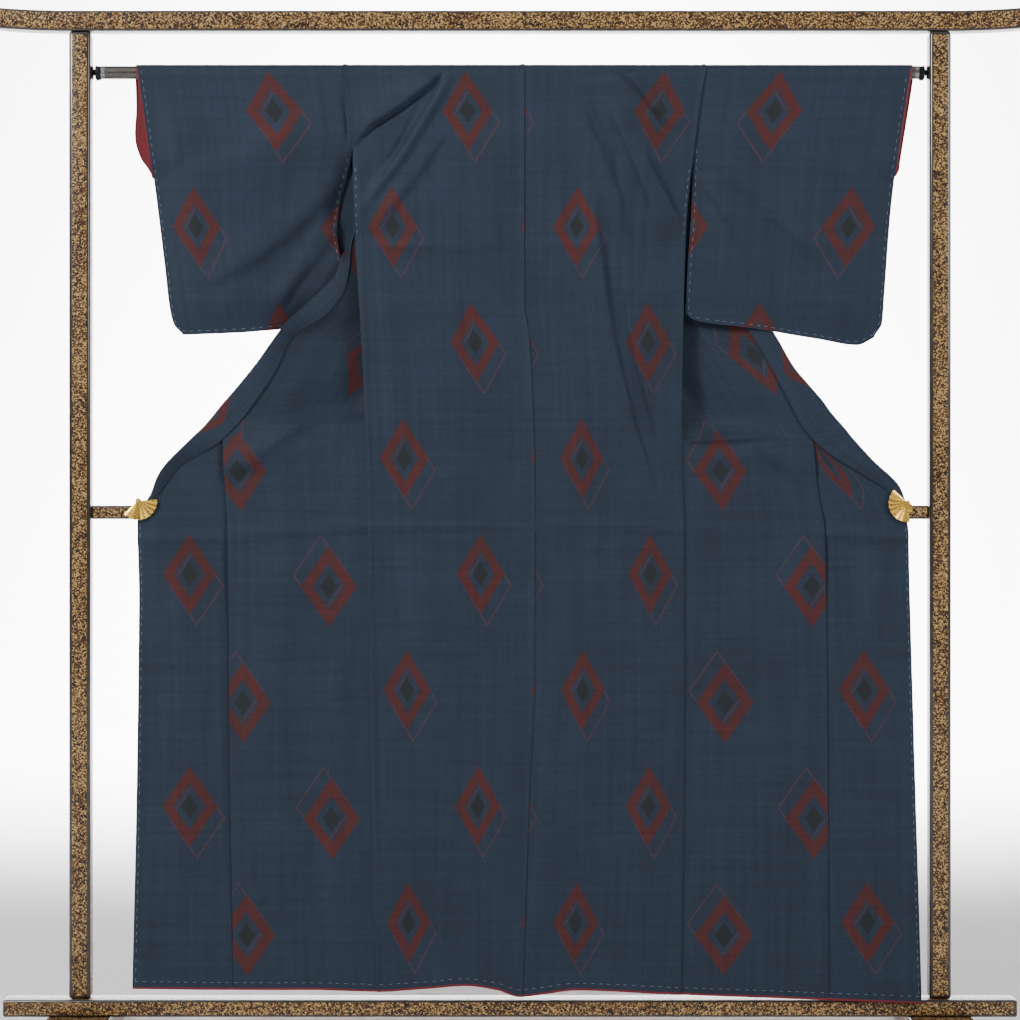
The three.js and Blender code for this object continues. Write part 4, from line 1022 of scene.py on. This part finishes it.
cloths, rolls = {}, {}
for side, outward in outwardOf.items():
    cloths[f"body_{side}"] = makeBody(side)
    cloths[f"okumi_{side}"] = makeOverlap(side)
    cloths[f"sleeve_{side}"] = makeSleeve(side)
    for place, points, way in (("cuff", cuffPoints, (outward, 0, 0)), ("hem", hemPoints, (0, 0, -1))):
        strip = rolledEdge(f"{place}_roll_{side}", points[side], Vector(way), roll[place])
        rolls[f"{place}_lining_{side}"] = strip
cloths["collar"] = makeCollar()
for node, piece in {**cloths, **rolls}.items():
    replace(node, piece)
print("cloth made:", {name: len(piece.data.polygons) for name, piece in cloths.items()})

# White basting stitches along the cuffs, sleeve bags, hem and overlap edges
basting = {"pitch": 15.0, "length": 6.0, "radius": 0.25, "seed": 4, "rise": 1.1, "hemRise": 1.4, "hemUp": 9,
           "cuffShare": 0.016, "bottomLevel": 0.012, "innerShare": 0.985, "innerTop": 0.68,
           "sideSpan": (0.82, 0.9), "sideShare": 0.014, "overlapSpan": (0.14, 0.99), "overlapShare": 0.97,
           "shift": 0.3, "uneven": 0.15}
random.seed(basting["seed"])
clearSelection()
bpy.ops.mesh.primitive_cylinder_add(vertices=6, radius=basting["radius"] * mm, depth=basting["length"] * mm)
stitch = bpy.context.object
bevelEdges(stitch, 0.12 * mm, 1)
smooth(stitch, 60)
paint(stitch, thread)


def stitchRun(line, rise=basting["rise"]):
    # copies of the stitch laid along a line of points, on the viewer's side of the cloth
    copies, travelled, wanted = [], 0.0, basting["pitch"] / 2
    shift, uneven = basting["shift"], basting["uneven"]
    for a, b in zip(line, line[1:]):
        step = (b - a).length
        while step > 1e-6 and wanted <= travelled + step:
            place = a.lerp(b, (wanted - travelled) / step) + Vector((0, -rise, random.uniform(-shift, shift)))
            turn = (b - a).to_track_quat("Z", "Y").to_matrix().to_4x4()
            copy = stitch.copy()
            copy.data = stitch.data.copy()
            copy.data.transform(Matrix.Translation(place * mm) @ turn)
            bpy.context.collection.objects.link(copy)
            copies.append(copy)
            wanted += basting["pitch"] * random.uniform(1 - uneven, 1 + uneven)
        travelled += step
    return copies


def joined(name, pieces):
    clearSelection()
    for piece in pieces:
        piece.select_set(True)
    bpy.context.view_layer.objects.active = pieces[0]
    bpy.ops.object.join()
    return added(name)


levels = [k / 90 for k in range(91)]
for side in outwardOf:
    sew, low = basting, basting["bottomLevel"]
    runs = stitchRun([sleevePoint(side, sew["cuffShare"], mix(low, 1, level), -1) for level in levels])
    runs += stitchRun([sleevePoint(side, share, low, -1) for share in levels])
    runs += stitchRun([sleevePoint(side, sew["innerShare"], mix(low, sew["innerTop"], level), -1)
                       for level in levels])
    runs += stitchRun([backPoint(side, mix(*sew["sideSpan"], level), sew["sideShare"]) for level in levels])
    runs += stitchRun([point + Vector((0, 0, sew["hemUp"])) for point in hemPoints[side]], sew["hemRise"])
    runs += stitchRun([overlapPoint(side, mix(*sew["overlapSpan"], level), sew["overlapShare"])
                       for level in levels])
    piece = joined(f"basting_{side}", runs)
    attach(piece, "root")
bpy.data.objects.remove(stitch)
print("basting sewn")


# The stand

def block(name, low, high):
    # a box between two corners, to be shaped further
    clearSelection()
    bpy.ops.mesh.primitive_cube_add(size=1, location=[(a + b) / 2 * mm for a, b in zip(low, high)])
    piece = added(name)
    piece.scale = [(b - a) * mm for a, b in zip(low, high)]
    settle(piece)
    return piece


def editFaces(piece, test):
    # the test gets a face's middle in millimetres and its normal
    selectFaces(piece, lambda polygon: test(polygon.center / mm, polygon.normal))


def cut(piece, place, normal, clear=False):
    editMode(piece, action="SELECT")
    bpy.ops.mesh.bisect(plane_co=[c * mm for c in place], plane_no=normal, use_fill=clear, clear_outer=clear)
    objectMode()


def extrude(x, y, z):
    bpy.ops.mesh.extrude_region_move(TRANSFORM_OT_translate={"value": (x * mm, y * mm, z * mm)})


def finishWood(piece, node, bevel):
    paint(piece, lacquer, lacquerEdgeShade)
    # the bevels take the second material: dark edges of painted shade along the rounded edges
    bevelEdges(piece, bevel * mm, 4, material=1)
    smooth(piece, 50)
    replace(node, piece)


stand = {"postX": 753, "postHalf": 19, "footHalf": 55, "footHeight": 36, "seat": 0.3,
         "baseHalf": 886, "baseDepth": 55, "baseHeight": 30, "midZ": 918, "midHeight": 24, "midDepth": 20,
         "topTurn": 793, "topEnd": 947, "topLow": 1760, "topHeight": 36,
         "rodHalf": 724.5, "rodRadius": 11.5, "rodRound": 1.2, "rodCap": 14,
         "footBevel": 3, "postBevel": 6, "railBevel": 4, "midBevel": 3}
toeSteps = [(100, 36), (137, 26.5), (167, 20), (190, 16)]  # along the foot and its height there
archSteps = (85, 95)
archRise = 7
endSteps = [(47.9, 1.5), (41.6, 2.5), (35.4, 3.5), (42, 6)]  # how each end of the top rail curves up
endSlant, slantUp = 12.5, 12  # the end's cut leans so many degrees, about a point this far up the rail


def makeFoot(side, outward):
    s = stand
    x = outward * s["postX"]
    foot = block(f"stand_foot_{side}", (x - s["footHalf"], -toeSteps[0][0], 0),
                 (x + s["footHalf"], toeSteps[0][0], s["footHeight"]))
    for facing in (-1, 1):
        for (yA, zA), (yB, zB) in zip(toeSteps, toeSteps[1:]):
            editFaces(foot, lambda c, n: n.y * facing > 0.7 and abs(c.y) > yA - 1)
            extrude(0, facing * (yB - yA), 0)
            bpy.ops.transform.resize(value=(1, 1, zB / zA), center_override=(0, 0, 0))
            objectMode()
    for y in (-archSteps[1], -archSteps[0], archSteps[0], archSteps[1]):
        cut(foot, (0, y, 0), (0, 1, 0))
    editFaces(foot, lambda c, n: n.z < -0.9 and abs(c.y) < archSteps[0])
    bpy.ops.transform.translate(value=(0, 0, archRise * mm))
    objectMode()
    finishWood(foot, f"foot_{side}", s["footBevel"])


def makePost(side, outward):
    s = stand
    x, half = outward * s["postX"], s["postHalf"]
    low = s["footHeight"] + s["baseHeight"] + 2 * s["seat"]
    post = block(f"stand_post_{side}", (x - half, -half, low), (x + half, half, s["topLow"] - s["seat"]))
    finishWood(post, f"post_{side}", s["postBevel"])


def makeRail(name, node, half, depth, low, high, bevel):
    rail = block(name, (-half, -depth / 2, low), (half, depth / 2, high))
    finishWood(rail, node, bevel)


def makeTopRail():
    s = stand
    turn, depth = s["topTurn"], s["postHalf"]
    rail = block("stand_top_rail", (-turn, -depth, s["topLow"]), (turn, depth, s["topLow"] + s["topHeight"]))
    for facing in (-1, 1):
        reach = turn
        for along, rise in endSteps:
            editFaces(rail, lambda c, n: n.x * facing > 0.7 and abs(c.x) > reach - 1)
            extrude(facing * along, 0, rise)
            objectMode()
            reach += along
        slant = math.radians(endSlant)
        cut(rail, (facing * s["topEnd"], 0, s["topLow"] + slantUp),
            (facing * math.cos(slant), 0, -math.sin(slant)), clear=True)
    finishWood(rail, "top_rail", s["railBevel"])


def spun(name, profile, place, facing):
    # a turned piece: a profile of (along, radius) in millimetres, spun about the X direction
    clearSelection()
    bpy.ops.mesh.primitive_plane_add(size=0.001)
    piece = added(name)
    editMode(piece, "VERT", "SELECT")
    bpy.ops.mesh.merge(type="CENTER")
    points = [Vector((place[0] + facing * along, place[1], place[2] + radius)) * mm
              for along, radius in profile]
    bpy.ops.transform.translate(value=points[0])
    for a, b in zip(points, points[1:]):
        bpy.ops.mesh.extrude_vertices_move(TRANSFORM_OT_translate={"value": b - a})
    bpy.ops.mesh.select_all(action="SELECT")
    bpy.ops.mesh.spin(steps=40, angle=2 * math.pi, center=[c * mm for c in place], axis=(1, 0, 0))
    bpy.ops.mesh.select_all(action="SELECT")
    bpy.ops.mesh.remove_doubles(threshold=0.000005)
    bpy.ops.mesh.normals_make_consistent(inside=False)
    objectMode()
    return piece


def makeRod():
    half, radius, rounding = stand["rodHalf"], stand["rodRadius"], stand["rodRound"]
    tube = spun("hanging_rod_tube", [(-half, 0), (-half, radius - rounding), (-half + rounding, radius),
                                     (half - rounding, radius), (half, radius - rounding), (half, 0)],
                (0, 0, rodZ), 1)
    capStart = half - stand["rodCap"]
    for x in (-capStart, capStart):
        cut(tube, (x, 0, 0), (1, 0, 0))
    paint(tube, rodMetal, steel)
    for polygon in tube.data.polygons:
        polygon.material_index = 1 if abs(polygon.center.x / mm) > capStart else 0
    smooth(tube, 40)
    replace("hanging_rod", tube)


# along from the rod's end to the post, and radius
hookProfile = [(0.3, 0), (0.3, 8.5), (-0.8, 11.2), (-3.5, 11.9), (-6.5, 11.9), (-7.2, 12.6), (-6.6, 13.4),
               (-3.0, 14.2), (1.0, 13.6), (2.8, 11.2), (3.4, 8.0), (3.4, 5.2), (6.4, 5.0), (6.4, 11.0),
               (6.9, 11.8), (8.6, 11.8), (9.2, 11.2), (9.2, 0)]
# the opening above, by which the rod is laid in: along from the rod's end, half its depth, and its heights
hookNotch = {"from": -12, "to": 0.2, "half": 10.2, "low": 2, "high": 40}


def makeHook(side, outward):
    place = (outward * stand["rodHalf"], 0, rodZ)
    hook = spun(f"rod_rest_{side}", hookProfile, place, outward)
    notch = hookNotch
    start, end = sorted(outward * (stand["rodHalf"] + notch[key]) for key in ("from", "to"))
    opening = block("opening", (start, -notch["half"], rodZ + notch["low"]),
                    (end, notch["half"], rodZ + notch["high"]))
    addModifier(hook, "BOOLEAN", operation="DIFFERENCE", object=opening, solver="EXACT")
    bpy.data.objects.remove(opening)
    paint(hook, hookMetal)
    smooth(hook, 35)
    replace(f"rod_hook_{side}", hook)


fan = {"radius": 33, "hub": 4, "pleats": 9, "sweep": 142, "pleatDepth": 2.2, "scallop": 1.3, "rows": 12,
       "thickness": 0.9, "front": -21.6, "knobOut": 1.2, "strap": 9, "strapThickness": 1.8,
       "strapIn": 0.6, "strapShift": 4, "backDrop": 8}
knobProfile = [(-2.4, 0), (-2.2, 1.6), (-1.2, 2.9), (0.2, 3.3), (0.9, 4.6), (1.6, 4.8), (1.6, 0)]
fanPlaces = {"left": (-650, 938, -67), "right": (695, 934, -154)}  # hub (x, z) and the way the fan opens


def makeFan(side, outward):
    x, hubZ, opens = fanPlaces[side]
    front = fan["front"]
    columns = fan["pleats"] * 10

    def pointAt(row, column):
        share = row / fan["rows"]
        turn = column / columns
        wave = abs((turn * fan["pleats"] * 2 + 1) % 2 - 1) * 2 - 1  # from -1 to 1 and back over each pleat
        radius = mix(fan["hub"], fan["radius"], share) + fan["scallop"] * max(0.0, wave) * share ** 4
        angle = math.radians(opens + fan["sweep"] * (0.5 - turn))
        depth = fan["pleatDepth"] * 0.5 * wave * share
        place = Vector((x + radius * math.cos(angle), front - depth, hubZ + radius * math.sin(angle)))
        return place, (0, 0)
    leaf, _ = placedGrid("leaf", fan["rows"], columns, pointAt)
    thicken(leaf, fan["thickness"], lined=False)
    smooth(leaf, 20)
    knob = spun("knob", knobProfile, (0, 0, 0), 1)
    knob.data.transform(Matrix.Translation(Vector((x, front - fan["knobOut"], hubZ)) * mm)
                        @ Matrix.Rotation(math.radians(90), 4, "Z"))
    smooth(knob, 50)
    near, back = front + fan["strapIn"], stand["midDepth"] / 2 + stand["seat"]
    over = stand["midZ"] + stand["midHeight"] / 2 + stand["seat"]
    thick, half = fan["strapThickness"], fan["strap"] / 2
    middle = x + outward * fan["strapShift"]
    strap = block("strap", (middle - half, near, over), (middle + half, back + thick, over + thick))
    for y in (near + thick, back):
        cut(strap, (0, y, 0), (0, 1, 0))
    # its two ends hang down before and behind the rail
    for test, drop in ((lambda c, n: n.z < -0.9 and c.y < near + thick, over - stand["midZ"]),
                       (lambda c, n: n.z < -0.9 and c.y > back, over - stand["midZ"] + fan["backDrop"])):
        editFaces(strap, test)
        extrude(0, 0, -drop)
        objectMode()
    bevelEdges(strap, 0.5 * mm, 2)
    smooth(strap, 40)
    clip = joined(f"fan_clip_{side}", [leaf, knob, strap])
    paint(clip, gilt)
    replace(f"clip_{side}", clip)


for side, outward in outwardOf.items():
    makeFoot(side, outward)
    makePost(side, outward)
    makeHook(side, outward)
    makeFan(side, outward)
baseLow = stand["footHeight"] + stand["seat"]
makeRail("stand_base_rail", "base_rail", stand["baseHalf"], stand["baseDepth"],
         baseLow, baseLow + stand["baseHeight"], stand["railBevel"])
midHalf = stand["midHeight"] / 2
makeRail("stand_mid_rail", "mid_rail", stand["postX"] - stand["postHalf"] - stand["seat"],
         stand["midDepth"], stand["midZ"] - midHalf, stand["midZ"] + midHalf, stand["midBevel"])
makeTopRail()
makeRod()
print("stand made")

# Floor, backdrop, lights and camera, in metres
stage = {"wide": 24, "deep": 20, "wallHeight": 10, "bend": 3.0, "worldLight": 0.24}
clearSelection()
bpy.ops.mesh.primitive_plane_add(size=1, location=(0, 0, 0))
floor = added("floor")
floor.scale = (stage["wide"], stage["deep"], 1)
settle(floor)
editMode(floor, "EDGE")
objectMode()
for edge in floor.data.edges:
    edge.select = all(floor.data.vertices[i].co.y > 0.45 * stage["deep"] for i in edge.vertices)
bpy.ops.object.mode_set(mode="EDIT")
bpy.ops.mesh.extrude_region_move(TRANSFORM_OT_translate={"value": (0, 0, stage["wallHeight"])})
objectMode()
bevelEdges(floor, stage["bend"], 14, 40)
smooth(floor, 60)
stageSheet = NodeSheet("pale floor")
stageSheet.set(color=(0.92, 0.92, 0.92, 1), rough=0.9, specular=0.1)
paint(floor, stageSheet.material)


def areaLight(name, place, target, size, power):
    clearSelection()
    bpy.ops.object.light_add(type="AREA", location=place)
    light = added(name)
    light.data.size = size
    light.data.energy = power
    light.rotation_euler = (Vector(target) - Vector(place)).to_track_quat("-Z", "Y").to_euler()
    return light.data


areaLight("key", (-3.2, -3.4, 3.6), (0.2, 0, 1.0), 1.3, 225)
areaLight("fill", (3.6, -3.0, 2.6), (0.4, 0, 1.2), 2.0, 100)
areaLight("top", (0, -0.4, 4.6), (0, 0.2, 0.8), 3.2, 45)
areaLight("back", (-1.5, 3.6, 3.2), (0, 0, 1.0), 2.6, 16)
backdropLight = areaLight("backdrop", (0, 3.8, 5.6), (0, 8.6, 0.3), 3.4, 3100)
backdropLight.spread = math.radians(120)  # kept to the part of the wall that the camera sees
world = bpy.data.worlds.new("studio")
scene.world = world
world.use_nodes = True
background = world.node_tree.nodes["Background"]
background.inputs[0].default_value = (1, 1, 1, 1)
background.inputs[1].default_value = stage["worldLight"]

view = {"distance": 4.85, "height": 0.922, "wide": 1.785, "clothDepth": 0.015}
clearSelection()
bpy.ops.object.camera_add(location=(0, -view["distance"], view["height"]), rotation=(math.radians(90), 0, 0))
camera = bpy.context.object
camera.data.sensor_width = 36
camera.data.lens = 36 * (view["distance"] - view["clothDepth"]) / view["wide"]
scene.camera = camera
print("stage made")
